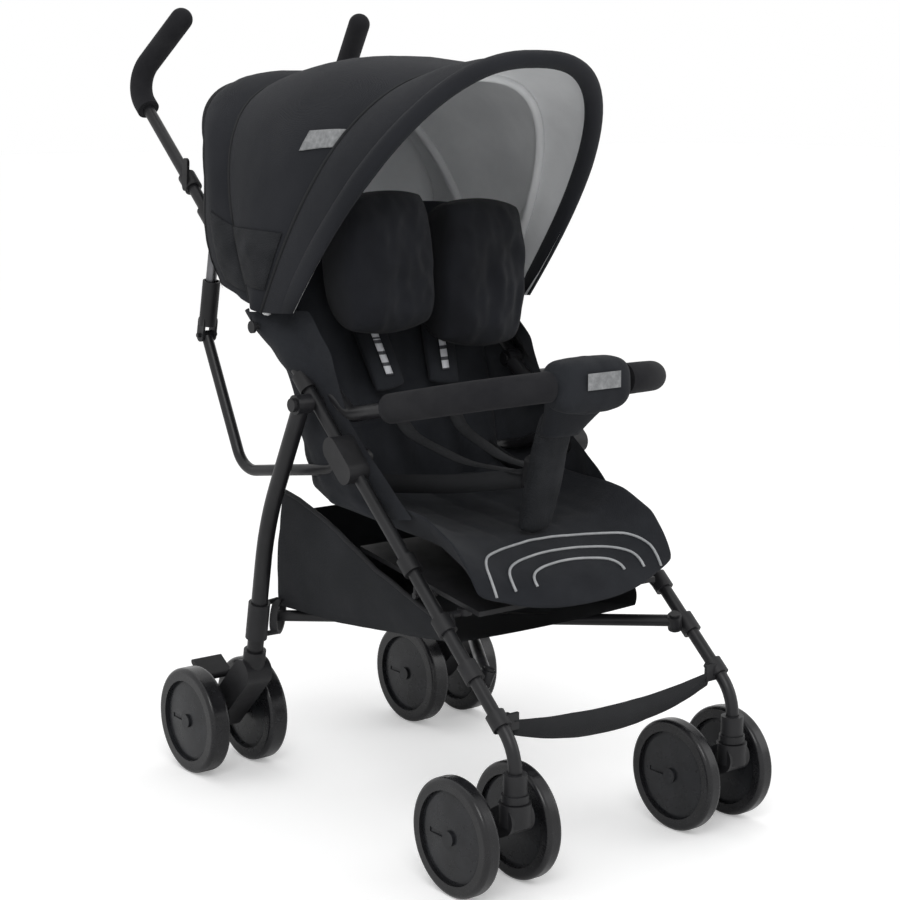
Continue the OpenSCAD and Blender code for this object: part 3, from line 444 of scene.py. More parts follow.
# %% Mesh helpers
def add_mesh(name, points, faces, mat, smooth=True):
    name = name.replace(" ", "_")
    mesh = bpy.data.meshes.new(name)
    mesh.from_pydata([tuple(p) for p in points], [], faces)
    mesh.update()
    obj = bpy.data.objects.new(name, mesh)
    bpy.context.scene.collection.objects.link(obj)
    give(obj, mat)
    for face in mesh.polygons:
        face.use_smooth = smooth
    return obj


def grid_faces(rows, cols, offset=0, flip=False):
    faces = []
    for j in range(rows - 1):
        for i in range(cols - 1):
            a = offset + j * cols + i
            quad = [a, a + 1, a + cols + 1, a + cols]
            faces.append(quad[::-1] if flip else quad)
    return faces


def cloth_grid(name, rows, mat):
    cols = len(rows[0])
    points = [p for row in rows for p in row]
    return add_mesh(name, points, grid_faces(len(rows), cols), mat)


def soften(obj, levels=1):
    mod = obj.modifiers.new("Soft", "SUBSURF")
    mod.levels = mod.render_levels = levels
    return obj


def pillow(name, place, wide, tall, front, back, mat, corner=0.5, folds=0.0, seams=(), rows=26, fill=0.6,
           crown=0.42, fold_scale=26.0, pleat=0.0):
    """A stuffed pad: place is its matrix, with X across, Z up and -Y towards the sitter."""
    points, faces = [], []
    for side, thick in ((-1, front), (1, back)):
        for j in range(rows + 1):
            for i in range(rows + 1):
                a, b = math.sin((i / rows - 0.5) * math.pi), math.sin((j / rows - 0.5) * math.pi)
                x = a * math.sqrt(1 - corner * b * b / 2) * wide / 2
                z = b * math.sqrt(1 - corner * a * a / 2) * tall / 2
                full = max(0.0, (1 - abs(a) ** 3.5) * (1 - abs(b) ** 3.5)) ** crown
                p = Vector((x, 0, z))
                y = side * thick * full
                if side < 0:
                    for seam_x, depth in seams:
                        y += depth * math.exp(-(((x - seam_x) / 0.006) ** 2)) * full
                    y -= crumple(Vector((x * 1.5, 0, z)), fold_scale, folds, seam_seed(name)) * full
                    wander = noise.noise(Vector((seam_seed(name), z * 14, 0))) * 1.6 + noise.noise(
                        Vector((x * 30, z * 8, seam_seed(name)))) * 2.0
                    y -= pleat * math.sin(x * 150 + wander) * full * (0.55 - 0.45 * b)
                points.append(place @ Vector((p.x, y, p.z)))
    n = (rows + 1) ** 2
    faces += grid_faces(rows + 1, rows + 1, 0, False)
    faces += grid_faces(rows + 1, rows + 1, n, True)
    obj = add_mesh(name, points, faces, mat)
    weld = obj.modifiers.new("Weld", "WELD")
    weld.merge_threshold = 0.0004
    soften(obj)
    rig.padded(obj, fill)
    return obj


def seam_seed(name):
    return sum(ord(c) for c in name) % 17


def swept(name, path, across, mat, closed=False):
    """Sweeps a section along path: across(i, f) gives the section's points there."""
    rows = [across(i, i / (len(path) - 1)) for i in range(len(path))]
    cols = len(rows[0])
    points = [p for row in rows for p in row]
    faces = []
    for j in range(len(rows) - 1):
        for i in range(cols):
            k = (i + 1) % cols
            faces.append([j * cols + i, j * cols + k, (j + 1) * cols + k, (j + 1) * cols + i])
    faces.append(list(range(cols))[::-1])
    faces.append([(len(rows) - 1) * cols + i for i in range(cols)])
    return add_mesh(name, points, faces, mat)


def ribbon(name, path, side, wide, thick, mat, bulge=0.0):
    """A flat tape along path, as a closed thin strip; side(i) is the direction across it."""
    def across(i, f):
        p = path[i]
        d = (path[min(i + 1, len(path) - 1)] - path[max(i - 1, 0)]).normalized()
        s = side(i, f).normalized()
        n = d.cross(s).normalized()
        w = wide(f) / 2 if callable(wide) else wide / 2
        t = thick / 2
        return [p - s * w - n * t * 0.4, p - n * (t + bulge), p + s * w - n * t * 0.4,
                p + s * w + n * t * 0.4, p + n * (t + bulge), p - s * w + n * t * 0.4]
    return swept(name, path, across, mat)


def cord_tube(name, path, radius, mat, sides=8):
    def across(i, f):
        p = path[i]
        d = (path[min(i + 1, len(path) - 1)] - path[max(i - 1, 0)]).normalized()
        s = d.cross(Vector((0, 0, 1)) if abs(d.z) < 0.9 else Vector((1, 0, 0))).normalized()
        n = d.cross(s)
        return [p + (s * math.cos(a) + n * math.sin(a)) * radius
                for a in (2 * math.pi * k / sides for k in range(sides))]
    return swept(name, path, across, mat)


# %% [markdown]
# ## Canopy
# Four arches carry the cloth: the rear edge, two hoops and the hem.
# Each gore runs between two arches, and bulges a little between them.

# %% Canopy arches
ARCH = 48


def arch_point(t, angle, rise, half, low, power=2.7):
    """Point of an arch; t runs 0 to 1 from right foot to left foot."""
    th = math.pi * t
    c, s = math.cos(th), math.sin(th)
    x = -half * math.copysign(abs(c) ** (2 / power), c)
    r = low + (rise - low) * abs(s) ** (2 / power)
    a = math.radians(angle(r) if callable(angle) else angle)
    return PIVOT + Vector((x, r * math.cos(a), r * math.sin(a)))


def between(table, v):
    """Value from a short table of (key, value) pairs."""
    for (k0, v0), (k1, v1) in zip(table, table[1:]):
        if v <= k1:
            return v0 + (v1 - v0) * (v - k0) / (k1 - k0)
    return table[-1][1]


def tail_angle(r):
    return between([(0.0, 22), (0.1, 26), (0.16, 38), (0.22, 52), (0.28, 55), (0.34, 53), (0.5, 49)], max(r, 0.0))


def hem_point(t, out=0.0, inward=0.0):
    th = math.pi * t
    c, s = math.cos(th), math.sin(th)
    foot, apex = at(0, 85 + out, 640), at(0, -172 + out, 953)
    k = abs(s) ** (2 / 2.4)
    p = foot + (apex - foot) * k
    p.x = -(0.194 - inward) * math.copysign(abs(c) ** (2 / 2.5), c)
    return p


def tail_edge(t):
    return arch_point(t, tail_angle, 0.398, 0.193, 0.105)


def hoop_one(t):
    return arch_point(t, 65, 0.347, 0.1975, 0.03)


def hoop_two(t):
    return arch_point(t, 120.5, 0.374, 0.1985, 0.022)


def gore_rows(a, b, steps, bulge, inset=0.0, folds=0.0015, seed=1.0):
    rows = []
    for j in range(steps + 1):
        v = j / steps
        row = []
        for i in range(ARCH + 1):
            t = i / ARCH
            p = a(t).lerp(b(t), v)
            du = (a(min(t + 0.01, 1)) - a(max(t - 0.01, 0))).lerp(b(min(t + 0.01, 1)) - b(max(t - 0.01, 0)), v)
            n = du.cross(b(t) - a(t))
            n = n.normalized() if n.length > 1e-9 else Vector((0, 0, 1))
            crown = math.sin(math.pi * t) ** 0.7
            lift = bulge * math.sin(math.pi * v) ** 0.8 * (0.25 + 0.75 * crown)
            edge = 1 - crown * 0.75
            lift += crumple(p, 18.0, folds * (0.5 + 2.0 * edge), seed) * math.sin(math.pi * min(max(v, 0.02), 0.98))
            p = p + n * (lift - inset)
            row.append(p)
        rows.append(row)
    return rows


def outward(rows):
    """Turns the rows round if their normals point at the pivot."""
    mid_row, mid = len(rows) // 2, len(rows[0]) // 2
    p = rows[mid_row][mid]
    n = (rows[mid_row][mid + 1] - p).cross(rows[mid_row + 1][mid] - p)
    return rows if n.dot(p - PIVOT) > 0 else [row[::-1] for row in rows]


probe = gore_rows(hoop_one, hoop_two, 8, 0.02)
grows = (probe[4][ARCH // 2] - PIVOT).length > (gore_rows(hoop_one, hoop_two, 8, 0.0)[4][ARCH // 2] - PIVOT).length
SIGN = 1 if grows else -1
print("gores bulge outwards with sign", SIGN)


# %% Canopy gores and lining
def gore_area(rows):
    total = 0.0
    for r0, r1 in zip(rows, rows[1:]):
        for i in range(len(r0) - 1):
            total += (r0[i + 1] - r0[i]).cross(r1[i] - r0[i]).length / 2
            total += (r1[i + 1] - r0[i + 1]).cross(r1[i + 1] - r1[i]).length / 2
    return total


def patch_on(name, rows, f_range, g_range, mat, lift=0.0022, pucker=0.0, slant=0.0):
    """A piece of cloth sewn on a gore: f runs across the gore's rows, g along them."""
    patch = []
    for j in range(11):
        line = []
        for i in range(11):
            f = f_range[0] + (f_range[1] - f_range[0]) * j / 10
            g = g_range[0] + (g_range[1] - g_range[0]) * i / 10 + slant * j / 10
            y, x = f * (len(rows) - 1), g * (len(rows[0]) - 1)
            j0, i0 = min(int(y), len(rows) - 2), min(int(x), len(rows[0]) - 2)
            a = rows[j0][i0].lerp(rows[j0][i0 + 1], x - i0)
            b = rows[j0 + 1][i0].lerp(rows[j0 + 1][i0 + 1], x - i0)
            n = (rows[j0][i0 + 1] - rows[j0][i0]).cross(rows[j0 + 1][i0] - rows[j0][i0]).normalized()
            p = a.lerp(b, y - j0)
            edge = math.sin(math.pi * i / 10) * math.sin(math.pi * j / 10)
            line.append(p + n * (lift + pucker * edge + crumple(p, 45.0, pucker * 0.6, 3.0) * edge))
        patch.append(line)
    obj = cloth_grid(name, patch, mat)
    thick = obj.modifiers.new("Thick", "SOLIDIFY")
    thick.thickness, thick.offset = 0.0012, -1
    return obj


def make_gore(name, a, b, steps, bulge, seed):
    shells = []
    for label, inset, mat in (("cloth", 0.0, canopy_cloth), ("lining", 0.0035, lining)):
        rows = outward(gore_rows(a, b, steps, SIGN * bulge, SIGN * inset, 0.0016, seed))
        obj = cloth_grid("%s %s" % (name, label), rows, mat)
        area = gore_area(rows)
        long = sum((rows[len(rows) // 2][i + 1] - rows[len(rows) // 2][i]).length for i in range(ARCH))
        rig.sheet(obj, (round(area / long, 4), round(long, 4)), "stretched", ("canopy_hoop_middle",))
        shells.append(obj)
    return shells


rear_gore = make_gore("Rear gore", tail_edge, hoop_one, 10, 0.014, 2.0)
middle_gore = make_gore("Middle gore", hoop_one, hoop_two, 20, 0.024, 3.0)
front_gore = make_gore("Front gore", hoop_two, hem_point, 10, 0.008, 4.0)


def fold_span(angle, before, after):
    """Two points either side of a plane through the pivot: cloth folds between them."""
    a = math.radians(angle)
    ahead = Vector((0, -math.sin(a), math.cos(a)))
    return PIVOT + ahead * before, PIVOT + ahead * after


MIDDLE_FOLD = fold_span(92.75, -0.14, 0.14)  # halfway between the rear and the middle hoop
FRONT_FOLD = fold_span(120.5, 0.0, 0.11)  # ahead of the middle hoop
LINING_FOLD = fold_span(120.5, 0.01, 0.12)  # a little later, so the lining stays in front
for obj in rear_gore:
    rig.ride(obj, "frame")
for obj in middle_gore:
    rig.blend(obj, "frame", "canopy_middle", *MIDDLE_FOLD)
for obj, span in zip(front_gore, (FRONT_FOLD, LINING_FOLD)):
    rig.blend(obj, "canopy_middle", "canopy_front", *span)
middle_rows = outward(gore_rows(hoop_one, hoop_two, 20, SIGN * 0.024, 0.0, 0.0016, 3.0))
rear_rows = outward(gore_rows(tail_edge, hoop_one, 10, SIGN * 0.014, 0.0, 0.0016, 2.0))
for label_args in (("Canopy label", (0.79, 0.99), (0.770, 0.806), label_cloth, 0.002, 0.0, -0.014),
                   ("Side pocket", (0.0, 0.93), (0.925, 0.985), mesh_cloth, 0.002, 0.006)):
    sewn = patch_on(label_args[0], middle_rows, *label_args[1:])
    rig.blend(sewn, "frame", "canopy_middle", *MIDDLE_FOLD)
# Hidden tails, on the hoops, keep the sides closed while the middle gore folds
TAIL_ROWS = 5
for name, rows_kept, body in (("Rear tail", slice(0, TAIL_ROWS), "frame"),
                              ("Front tail", slice(-TAIL_ROWS, None), "canopy_middle")):
    for label, inset, mat in (("cloth", 0.0012, canopy_cloth), ("lining", 0.0023, lining)):
        shell = outward(gore_rows(hoop_one, hoop_two, 20, SIGN * 0.024, SIGN * inset, 0.0016, 3.0))
        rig.ride(cloth_grid("%s %s" % (name, label), shell[rows_kept], mat), body)
sewn = patch_on("Rear pocket", rear_rows, (0.35, 1.0), (0.925, 0.992), mesh_cloth, 0.002, 0.004)
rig.ride(sewn, "frame")
print("gores made")

# %% Canopy hem, bindings and casings
STEPS = 60


def arch_line(f, inset=0.0):
    pts = [f(i / STEPS) for i in range(STEPS + 1)]
    if inset:
        pts = [p - (p - PIVOT).normalized() * inset for p in pts]
    return pts


HEM_WIDE = 0.032


def hem_run(t):
    """Direction from the hem back along the cloth."""
    return (hoop_two(t) - hem_point(t)).normalized()


hem_line = [hem_point(i / STEPS) + hem_run(i / STEPS) * HEM_WIDE * 0.42 for i in range(STEPS + 1)]


def hem_across(i, f):
    """An oval section: wide along the cloth, and as thick as the hoop it hides."""
    d = (hem_line[min(i + 1, STEPS)] - hem_line[max(i - 1, 0)]).normalized()
    run = hem_run(f)
    n = d.cross(run).normalized()
    thin = 0.0108 * min(1.0, 0.35 + 4 * min(f, 1 - f))
    return [hem_line[i] + run * HEM_WIDE / 2 * math.cos(a) + n * thin * math.sin(a)
            for a in (2 * math.pi * k / 16 for k in range(16))]


hem = swept("Canopy hem", hem_line, hem_across, canopy_cloth)
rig.replaces(hem, "canopy_hoop_front")
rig.ride(hem, "canopy_front")
tail_binding = ribbon("Rear binding", arch_line(tail_edge), lambda i, f: Vector((0, 0.6, 0.8)), 0.012, 0.004, tape)
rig.ride(tail_binding, "frame")
for name, f, body, radius in (("Rear hoop seam", hoop_one, "frame", 0.0022), ("Middle hoop seam", hoop_two, "canopy_middle", 0.0022)):
    seam = cord_tube(name, arch_line(f, -0.0005), radius, tape)
    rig.ride(seam, body)
for name, f, body in (("Rear hoop casing", hoop_one, "frame"), ("Middle hoop casing", hoop_two, "canopy_middle")):
    casing = cord_tube(name, arch_line(f, 0.0075), 0.0066, lining)
    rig.ride(casing, body)
    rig.replaces(casing, "canopy_hoop_rear" if body == "frame" else "canopy_hoop_middle")

curtain_rows = []
for j in range(17):
    v = j / 16
    row = []
    for i in range(33):
        t = 0.07 + 0.86 * i / 32
        top = tail_edge(t)
        foot = at(-163 * math.cos(math.pi * (t - 0.07) / 0.86), 216, 690)
        p = top.lerp(foot, v)
        p.y += 0.012 * math.sin(math.pi * v) + crumple(p, 20.0, 0.003, 12.0) * math.sin(math.pi * v)
        row.append(p)
    curtain_rows.append(row)
for label, inset, mat in (("cloth", 0.002, canopy_cloth), ("lining", -0.002, lining)):
    curtain = cloth_grid("Rear curtain " + label, [[p + Vector((0, inset, 0)) for p in r] for r in curtain_rows], mat)
    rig.sheet(curtain, (0.30, round(gore_area(curtain_rows) / 0.30, 4)), "hung", ("canopy_hoop_rear",))
    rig.blend(curtain, "frame", "back", at(0, 299, 772), at(0, 216, 690))
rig.replaces(rear_gore[0], "canopy_rear")
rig.replaces(middle_gore[0], "canopy_middle")
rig.replaces(front_gore[0], "canopy_front")
print("hem and bindings made")

# %% [markdown]
# ## Back: pad, bolsters, shoulder pads and side panels
# The back leans 14.5 degrees. Its own frame has X across, Z up along it, -Y to the sitter.

# %% Back
LEAN = math.radians(14.5)
back_place = Matrix.Translation(at(0, 104, 406)) @ Matrix.Rotation(-LEAN, 4, "X")


def on_back(x, y, z):
    return back_place @ Matrix.Translation((x, y, z))


back_pad = pillow("Back pad", on_back(0, -0.016, 0.178), 0.296, 0.388, 0.018, 0.014, cloth, 0.12,
                  0.0035, ((-0.075, 0.006), (0.0, 0.005), (0.075, 0.006)), rows=40, fill=0.5, crown=0.3)
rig.ride(back_pad, "back")
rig.replaces(back_pad, "back_cushion")
bolsters = []
for side, middle, tall in ((-1, 705, 0.180), (1, 684, 0.194)):
    name = "Bolster %s" % ("right" if side < 0 else "left")
    place = (Matrix.Translation(at(side * 76, 46, middle - 4)) @ Matrix.Rotation(math.radians(-2), 4, "X")
             @ Matrix.Rotation(side * math.radians(3), 4, "Y"))
    b = pillow(name, place, 0.132, tall, 0.034, 0.085, puffy_cloth, 0.4, 0.008, (), rows=44, fill=0.85,
               crown=0.42, fold_scale=22.0, pleat=0.0035)
    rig.ride(b, "back")
    bolsters.append(b)
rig.replaces(bolsters[0], "back_bolsters")
pads = []
for side in (-1, 1):
    name = "Shoulder pad %s" % ("right" if side < 0 else "left")
    place = (on_back(side * 0.055, -0.042, 0.196) @ Matrix.Rotation(math.radians(-9), 4, "X")
             @ Matrix.Rotation(side * math.radians(8), 4, "Y"))
    p = pillow(name, place, 0.048, 0.165, 0.007, 0.006, cloth, 0.15, 0.001, (), rows=20, fill=0.5, crown=0.25)
    strip_path = [place @ Vector((0, -0.0085, z / 100 - 0.065)) for z in range(0, 9)]
    strip = ribbon(name + " strip", strip_path, lambda i, f: Vector((1, 0, 0)), 0.011, 0.0012, reflective)
    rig.ride(p, "back")
    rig.ride(strip, "back")
    pads.append(p)
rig.replaces(pads[0], "shoulder_pads")
print("back made")

# %% Side panels between the frame, the seat and the back
inner_edge = [(136, 180, 640), (136, 168, 592), (136, 160, 538), (136, 142, 470), (140, 122, 410),
              (150, 62, 396), (156, -38, 392)]
rear_edge = [(168, 196, 634), (168, 160, 590), (166, 134, 548), (163, 108, 484), (162, 74, 430),
             (161, 30, 404), (161, -44, 396)]
front_edge = [(158, 98, 640), (163, 44, 590), (163, 28, 553), (163, 4, 508), (162, -48, 464),
              (162, -94, 430), (160, -122, 406)]


TUBE_START = (-333.0, 177.5)  # the side tube's front corner, in y and z
TUBE_SLOPE = math.tan(math.radians(41.8))


def along(line, f):
    """The point a share f along a line of points."""
    g = f * (len(line) - 1)
    i = min(int(g), len(line) - 2)
    return tuple(line[i][n] + (line[i + 1][n] - line[i][n]) * (g - i) for n in range(len(line[0])))


for side in (-1, 1):
    rows = []
    for k in range(31):
        inner, rear, front = (along(line, k / 30) for line in (inner_edge, rear_edge, front_edge))
        row = []
        for m in range(21):
            a, b, v = (inner, rear, m / 6) if m < 6 else (rear, front, (m - 6) / 14)
            swell = math.sin(math.pi * v)
            p = at(side * (a[0] * (1 - v) + b[0] * v + 3 * swell), a[1] * (1 - v) + b[1] * v,
                   a[2] * (1 - v) + b[2] * v)
            p.x += side * crumple(p, 34.0, 0.007, 5.0 + side) * (0.2 + swell)
            height = p.z * 1000
            off_tube = (p.y * 1000 + MIDDLE - TUBE_START[0] - (height - TUBE_START[1]) / TUBE_SLOPE) * 0.667
            wrap = max(0.0, min(1.0, (height - 540) / 30))
            over = 187 + 9 * max(0.0, min(1.0, (height - 585) / 25)) - (off_tube / 30) ** 2 * 22
            over += 1000 * crumple(p, 48.0, 0.003, 2.0)
            inside = min(0.1655, abs(p.x))
            p.x = side * (inside + max(0.0, over / 1000 - inside) * wrap)
            row.append(p)
        rows.append(row)
    panel = cloth_grid("Side panel %s" % ("right" if side < 0 else "left"), rows, cloth)
    soften(panel)
    area = gore_area(rows)
    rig.sheet(panel, (round(area / 0.38, 4), 0.38), "stretched", ("main_tube_right",))
    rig.blend(panel, "frame", "back", at(side * 163, 100, 520), at(side * 139, 100, 520))
print("side panels made")

# %% [markdown]
# ## Seat
# A quilted pad with sides that rise to the side tubes, and a front edge that turns down.

# %% Seat
FRONT_Y, REAR_Y = -254.0, 98.0
ACROSS, ALONG = 44, 40


def seat_top(u, y):
    """Height of the seat's top, in millimetres; u is -1 to 1 across."""
    mid = between([(-262, 318), (-250, 334), (-230, 345), (-150, 376), (0, 388), (60, 396), (98, 415)], y)
    rise = between([(-262, 0), (-245, 6), (-200, 36), (-120, 40), (0, 36), (60, 26), (98, 10)], y)
    return mid + rise * abs(u) ** 3.2


def seat_front(u):
    return -262 + 22 * abs(u) ** 2.5


def seat_half(y):
    return between([(-262, 150), (-240, 160), (-200, 163), (0, 160), (60, 154), (98, 148)], y)


def seat_surface(u, v, drop=0.0):
    y = seat_front(u) * (1 - v) + REAR_Y * v
    x = u * seat_half(y)
    z = seat_top(u, y)
    nose = max(0.0, 1 - v / 0.06)
    z -= 10 * nose * nose
    quilt = 0.0
    for line in (-0.62, -0.31, 0.0, 0.31, 0.62):
        quilt -= 2.6 * math.exp(-(((u - line) * 160 / 5.0) ** 2)) * min(1.0, max(0.0, (y + 170) / 40))
    p = at(x, y, z + quilt - drop)
    p.z += crumple(p, 30.0, 0.0022, 3.0) * (0 if drop else min(1.0, max(0.15, (y + 190) / 60)))
    return p


points, faces = [], []
for drop in (0.0, 24.0):
    for j in range(ALONG + 1):
        v = j / ALONG
        for i in range(ACROSS + 1):
            u = i / ACROSS * 2 - 1
            edge = min(1.0, (1 - abs(u)) * 9, v * 16 + 0.15, (1 - v) * 12 + 0.2)
            points.append(seat_surface(u, v, drop * edge if drop else 0.0))
n = (ACROSS + 1) * (ALONG + 1)
faces += grid_faces(ALONG + 1, ACROSS + 1) + grid_faces(ALONG + 1, ACROSS + 1, n, True)
for i in range(ACROSS):
    faces.append([i + 1, i, n + i, n + i + 1])
    a = ALONG * (ACROSS + 1) + i
    faces.append([a, a + 1, n + a + 1, n + a])
seat = add_mesh("Cushion", points, faces, cloth)
weld = seat.modifiers.new("Weld", "WELD")
weld.merge_threshold = 0.0005
soften(seat)
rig.padded(seat, 0.5)
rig.ride(seat, "frame")
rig.replaces(seat, "seat_cushion")

for k, (half, deep) in enumerate(((132, 78), (103, 52), (70, 30))):
    line = []
    for i in range(49):
        th = math.pi * i / 48
        x, y = -half * math.cos(th), -250 + 3 + deep * math.sin(th) ** 0.9
        u = x / seat_half(y)
        v = (y - seat_front(u)) / (REAR_Y - seat_front(u))
        line.append(seat_surface(u, max(v, 0.0)) + Vector((0, 0, 0.0012)))
    pipe = cord_tube("Piping row %d" % (k + 1), line, 0.0017, piping)
    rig.ride(pipe, "frame")
print("seat made")

# %% Crotch pad and harness webbing
crotch = pillow("Crotch pad", Matrix.Translation(at(0, -178, 456)) @ Matrix.Rotation(math.radians(16), 4, "X"),
                0.05, 0.165, 0.012, 0.012, mesh_cloth, 0.3, 0.003, (), rows=20, fill=0.5, crown=0.3)
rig.ride(crotch, "frame")
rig.replaces(crotch, "crotch_pad")


def webbing(name, points, side, wide=0.022):
    path = []
    for k in range(25):
        path.append(at(*along(points, k / 24)))
    for _ in range(3):
        path = [path[0]] + [(path[i - 1] + path[i] * 2 + path[i + 1]) / 4 for i in range(1, 24)] + [path[-1]]
    strap = ribbon(name, path, lambda i, f: side, wide, 0.0022, tape)
    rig.blend(strap, "back", "frame", path[0], path[-1])
    return strap


for side, word in ((-1, "right"), (1, "left")):
    webbing("Shoulder strap " + word, [(side * 48, 82, 520), (side * 42, 40, 476), (side * 30, -60, 452),
                                       (side * 14, -158, 452)], Vector((1, 0, 0)))
    webbing("Waist strap " + word, [(side * 128, 92, 438), (side * 112, 20, 424), (side * 62, -80, 432),
                                    (side * 16, -158, 446)], Vector((0, 0.3, 1)), 0.024)

# %% [markdown]
# ## Basket, footrest strap and bumper cover

# %% Basket
rim = [(168, 398), (128, 392), (62, 372), (14, 352), (-40, 330), (-100, 312), (-172, 290)]
floor_line = [(196, 236), (130, 238), (62, 240), (0, 246), (-60, 252), (-120, 258), (-186, 266)]


BASKET_HALF = 157.0
rows = []
for j in range(31):
    f = j / 30
    (ry, rz), (fy, fz) = along(rim, f), along(floor_line, f)
    row = []
    for i in range(41):
        s = i / 40 * 2 - 1
        if abs(s) > 0.55:
            k = (abs(s) - 0.55) / 0.45
            x = math.copysign(BASKET_HALF - 10 * (1 - k) ** 3, s)
            y, z = fy + (ry - fy) * k, fz + (rz - fz) * k
        else:
            x, y, z = s / 0.55 * (BASKET_HALF - 10), fy, fz
            z -= 3 * (1 - (s / 0.55) ** 2)
        p = at(x, y, z)
        p.x += crumple(p, 22.0, 0.002, 8.0) * (1 if abs(s) > 0.5 else 0)
        row.append(p)
    rows.append(row)
basket = cloth_grid("Basket", rows, basket_cloth)
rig.sheet(basket, (round(gore_area(rows) / 0.55, 4), 0.55), "hung", ("main_tube_right",))
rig.ride(basket, "frame")
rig.replaces(basket, "basket")
end_rows = [[rows[0][i].lerp(Vector((rows[0][i].x, rows[0][0].y, rows[0][0].z - 0.03)), k / 6) for i in range(6, 35)] for k in range(7)]
rear_wall = cloth_grid("Basket rear wall", end_rows, basket_cloth)
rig.ride(rear_wall, "frame")
for side in (0, 40):
    edge = cord_tube("Basket rim %d" % side, [r[side] for r in rows], 0.003, tape)
    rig.ride(edge, "frame")

# %% Footrest strap
strap_rows = []
for j in range(13):
    v = j / 12
    row = []
    for i in range(41):
        s = i / 40 * 2 - 1
        top = 192 + 12 * s * s
        low = 160 + 26 * s * s
        z = top + (low - top) * v
        y = -306 - 7 * math.sin(math.pi * v) * (1 - s * s) + 5 * (v - 0.5)
        p = at(s * 158, y, z)
        p.y += crumple(p, 30.0, 0.0015, 6.0)
        row.append(p)
    strap_rows.append(row)
strap = cloth_grid("Footrest strap", strap_rows, tape)
thick = strap.modifiers.new("Thick", "SOLIDIFY")
thick.thickness = 0.0025
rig.sheet(strap, (0.316, round(gore_area(strap_rows) / 0.316, 4)), "hung", ("strap_brackets",))
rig.ride(strap, "frame")
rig.replaces(strap, "footrest_strap")

# %% Bumper cover and labels
cover_place = Matrix.Translation(at(0, -252, 573))
points, faces = [], []
N, M = 36, 28
for i in range(N + 1):
    f = i / N * 2 - 1
    cap = (1 - abs(f) ** 8) ** 0.5
    for j in range(M):
        th = 2 * math.pi * j / M
        c, s = math.cos(th), math.sin(th)
        bow = 1 + 0.1 * (1 - f * f)
        r = 0.0285 * bow * max(cap, 0.45)
        shape = (abs(c) ** 3.2 + abs(s) ** 3.2) ** (-1 / 3.2)
        p = Vector((f * 0.058, c * r * shape * 0.93, s * r * shape))
        p.z -= 0.005 * (1 - f * f) * (1 if s < 0 else 0)
        n = crumple(p, 40.0, 0.0012, 9.0)
        points.append(cover_place @ (p + Vector((0, c, s)) * n))
for i in range(N):
    for j in range(M):
        k = (j + 1) % M
        faces.append([i * M + j, i * M + k, (i + 1) * M + k, (i + 1) * M + j])
faces += [list(range(M)), [N * M + j for j in range(M)][::-1]]
cover = soften(add_mesh("Bumper cover", points, faces, cloth))
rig.padded(cover, 0.7)
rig.ride(cover, "bumper")
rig.replaces(cover, "bumper_cover")
flap_rows = []
for k in range(13):
    v = k / 12
    half = 0.056 * (1 - v) ** 1.3 + 0.026 * (1 - (1 - v) ** 1.3)
    centre = at(0, -246 + 44 * v, 556 - 52 * v)
    ring = []
    for j in range(24):
        th = 2 * math.pi * j / 24
        c, sn = math.cos(th), math.sin(th)
        ring.append(centre + Vector((half * math.copysign(abs(c) ** 0.6, c), 0.017 * math.copysign(abs(sn) ** 0.8, sn), 0)))
    flap_rows.append(ring)
flap = swept("Cover flap", list(range(13)), lambda i, f: flap_rows[i], cloth)
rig.ride(flap, "bumper")
label_rows = [[cover_place @ Vector((x / 1000, -0.0305 - 0.0012, z / 1000)) for x in range(-26, 27, 4)] for z in range(-4, 19, 4)]
label = cloth_grid("Bumper label", label_rows, label_cloth)
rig.ride(label, "bumper")
print("soft goods made")

# %% [markdown]
# ## Floor, light and camera

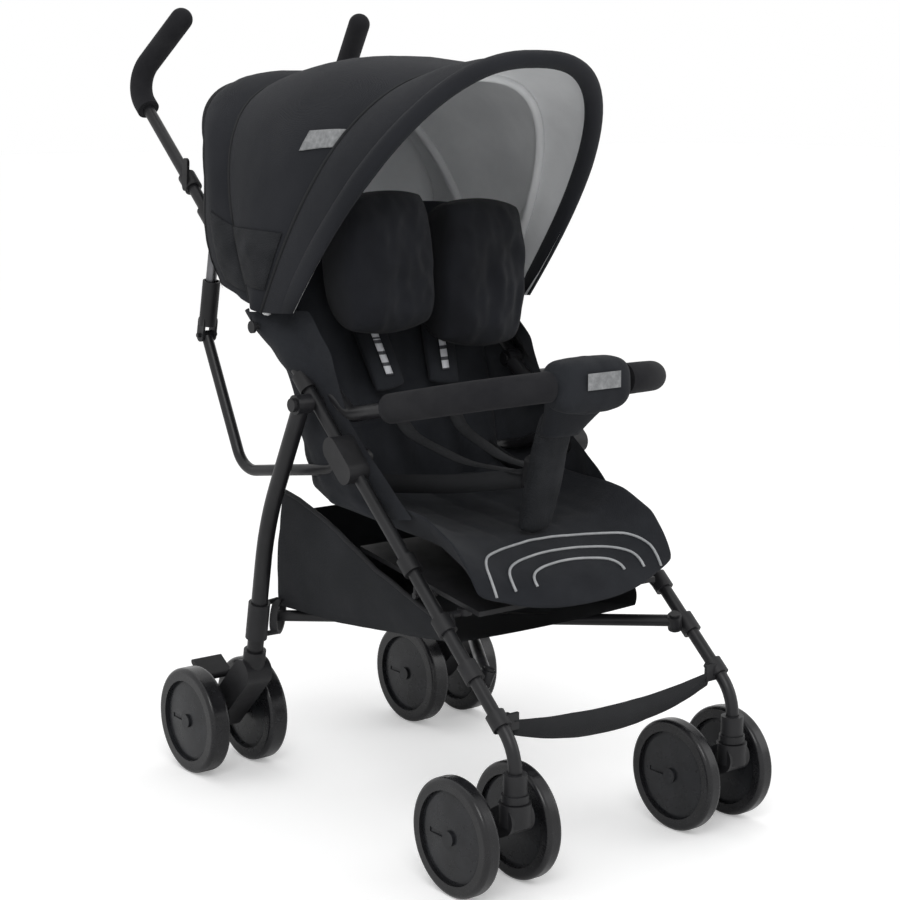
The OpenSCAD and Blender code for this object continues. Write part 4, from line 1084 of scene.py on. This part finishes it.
# %% Floor
bpy.ops.mesh.primitive_plane_add(size=60, location=(0, 0, 0))
floor = bpy.context.object
floor.name = "Floor"
floor_mat = bpy.data.materials.new("Pale floor")
floor_mat.use_nodes = True
shader = floor_mat.node_tree.nodes["Principled BSDF"]
shader.inputs["Base Color"].default_value = (0.9, 0.9, 0.9, 1)
shader.inputs["Roughness"].default_value = 0.9
shader.inputs["Emission Color"].default_value = (1, 1, 1, 1)
shader.inputs["Emission Strength"].default_value = 0.0
glow = Wire(floor_mat, None).node("ShaderNodeLightPath", out="Is Camera Ray") * 0.26
shader.inputs["Emission Strength"].default_value = 1.0
floor_mat.node_tree.links.new(glow.node("ShaderNodeCombineColor", {0: glow, 1: glow, 2: glow}).socket,
                              shader.inputs["Emission Color"])
give(floor, floor_mat)
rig.stage(floor)

world = bpy.data.worlds.new("Studio")
bpy.context.scene.world = world
world.use_nodes = True
world.node_tree.nodes["Background"].inputs[0].default_value = (1, 1, 1, 1)
backdrop = Wire(type("Tree", (), {"node_tree": world.node_tree}), None)
seen = backdrop.node("ShaderNodeLightPath", out="Is Camera Ray").math(
    "MAXIMUM", backdrop.node("ShaderNodeLightPath", out="Is Glossy Ray"))
world.node_tree.links.new((seen * 0.2 + 0.8).socket, world.node_tree.nodes["Background"].inputs[1])


def softbox(name, place, target, size, power):
    light = bpy.data.lights.new(name, "AREA")
    light.shape, light.size, light.energy = "SQUARE", size, power
    obj = bpy.data.objects.new(name, light)
    obj.location = place
    obj.rotation_euler = (Vector(target) - Vector(place)).to_track_quat("-Z", "Y").to_euler()
    bpy.context.scene.collection.objects.link(obj)
    return obj


softbox("Key", (-1.6, -2.2, 2.6), (0, 0, 0.5), 1.4, 34)
softbox("Fill", (2.4, -1.8, 1.6), (0, 0, 0.5), 1.6, 10)
softbox("Top", (0, 0.6, 3.0), (0, 0, 0.5), 2.0, 8)

# %% Camera
camera_data = bpy.data.cameras.new("Camera")
camera_data.sensor_width = 36
camera_data.lens = 80.0
camera_data.shift_x = -0.0165
camera_data.shift_y = -0.0257
camera = bpy.data.objects.new("Camera", camera_data)
yaw, pitch = math.radians(38.312), math.radians(-9.265)
camera.location = (-1.5677, -2.0036 - MIDDLE / 1000, 0.9028)
look = Vector((math.cos(pitch) * math.sin(yaw), math.cos(pitch) * math.cos(yaw), math.sin(pitch)))
camera.rotation_euler = look.to_track_quat("-Z", "Y").to_euler()
bpy.context.scene.collection.objects.link(camera)
bpy.context.scene.camera = camera
bpy.context.scene.view_settings.view_transform = "Standard"

# %% Sizes and finish
end_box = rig.bounds()
with open("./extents.json", "w") as f:
    json.dump({"frame": [list(v) for v in start_box], "shown": [list(v) for v in end_box]}, f)
print("frame box", start_box)
print("shown box", end_box)
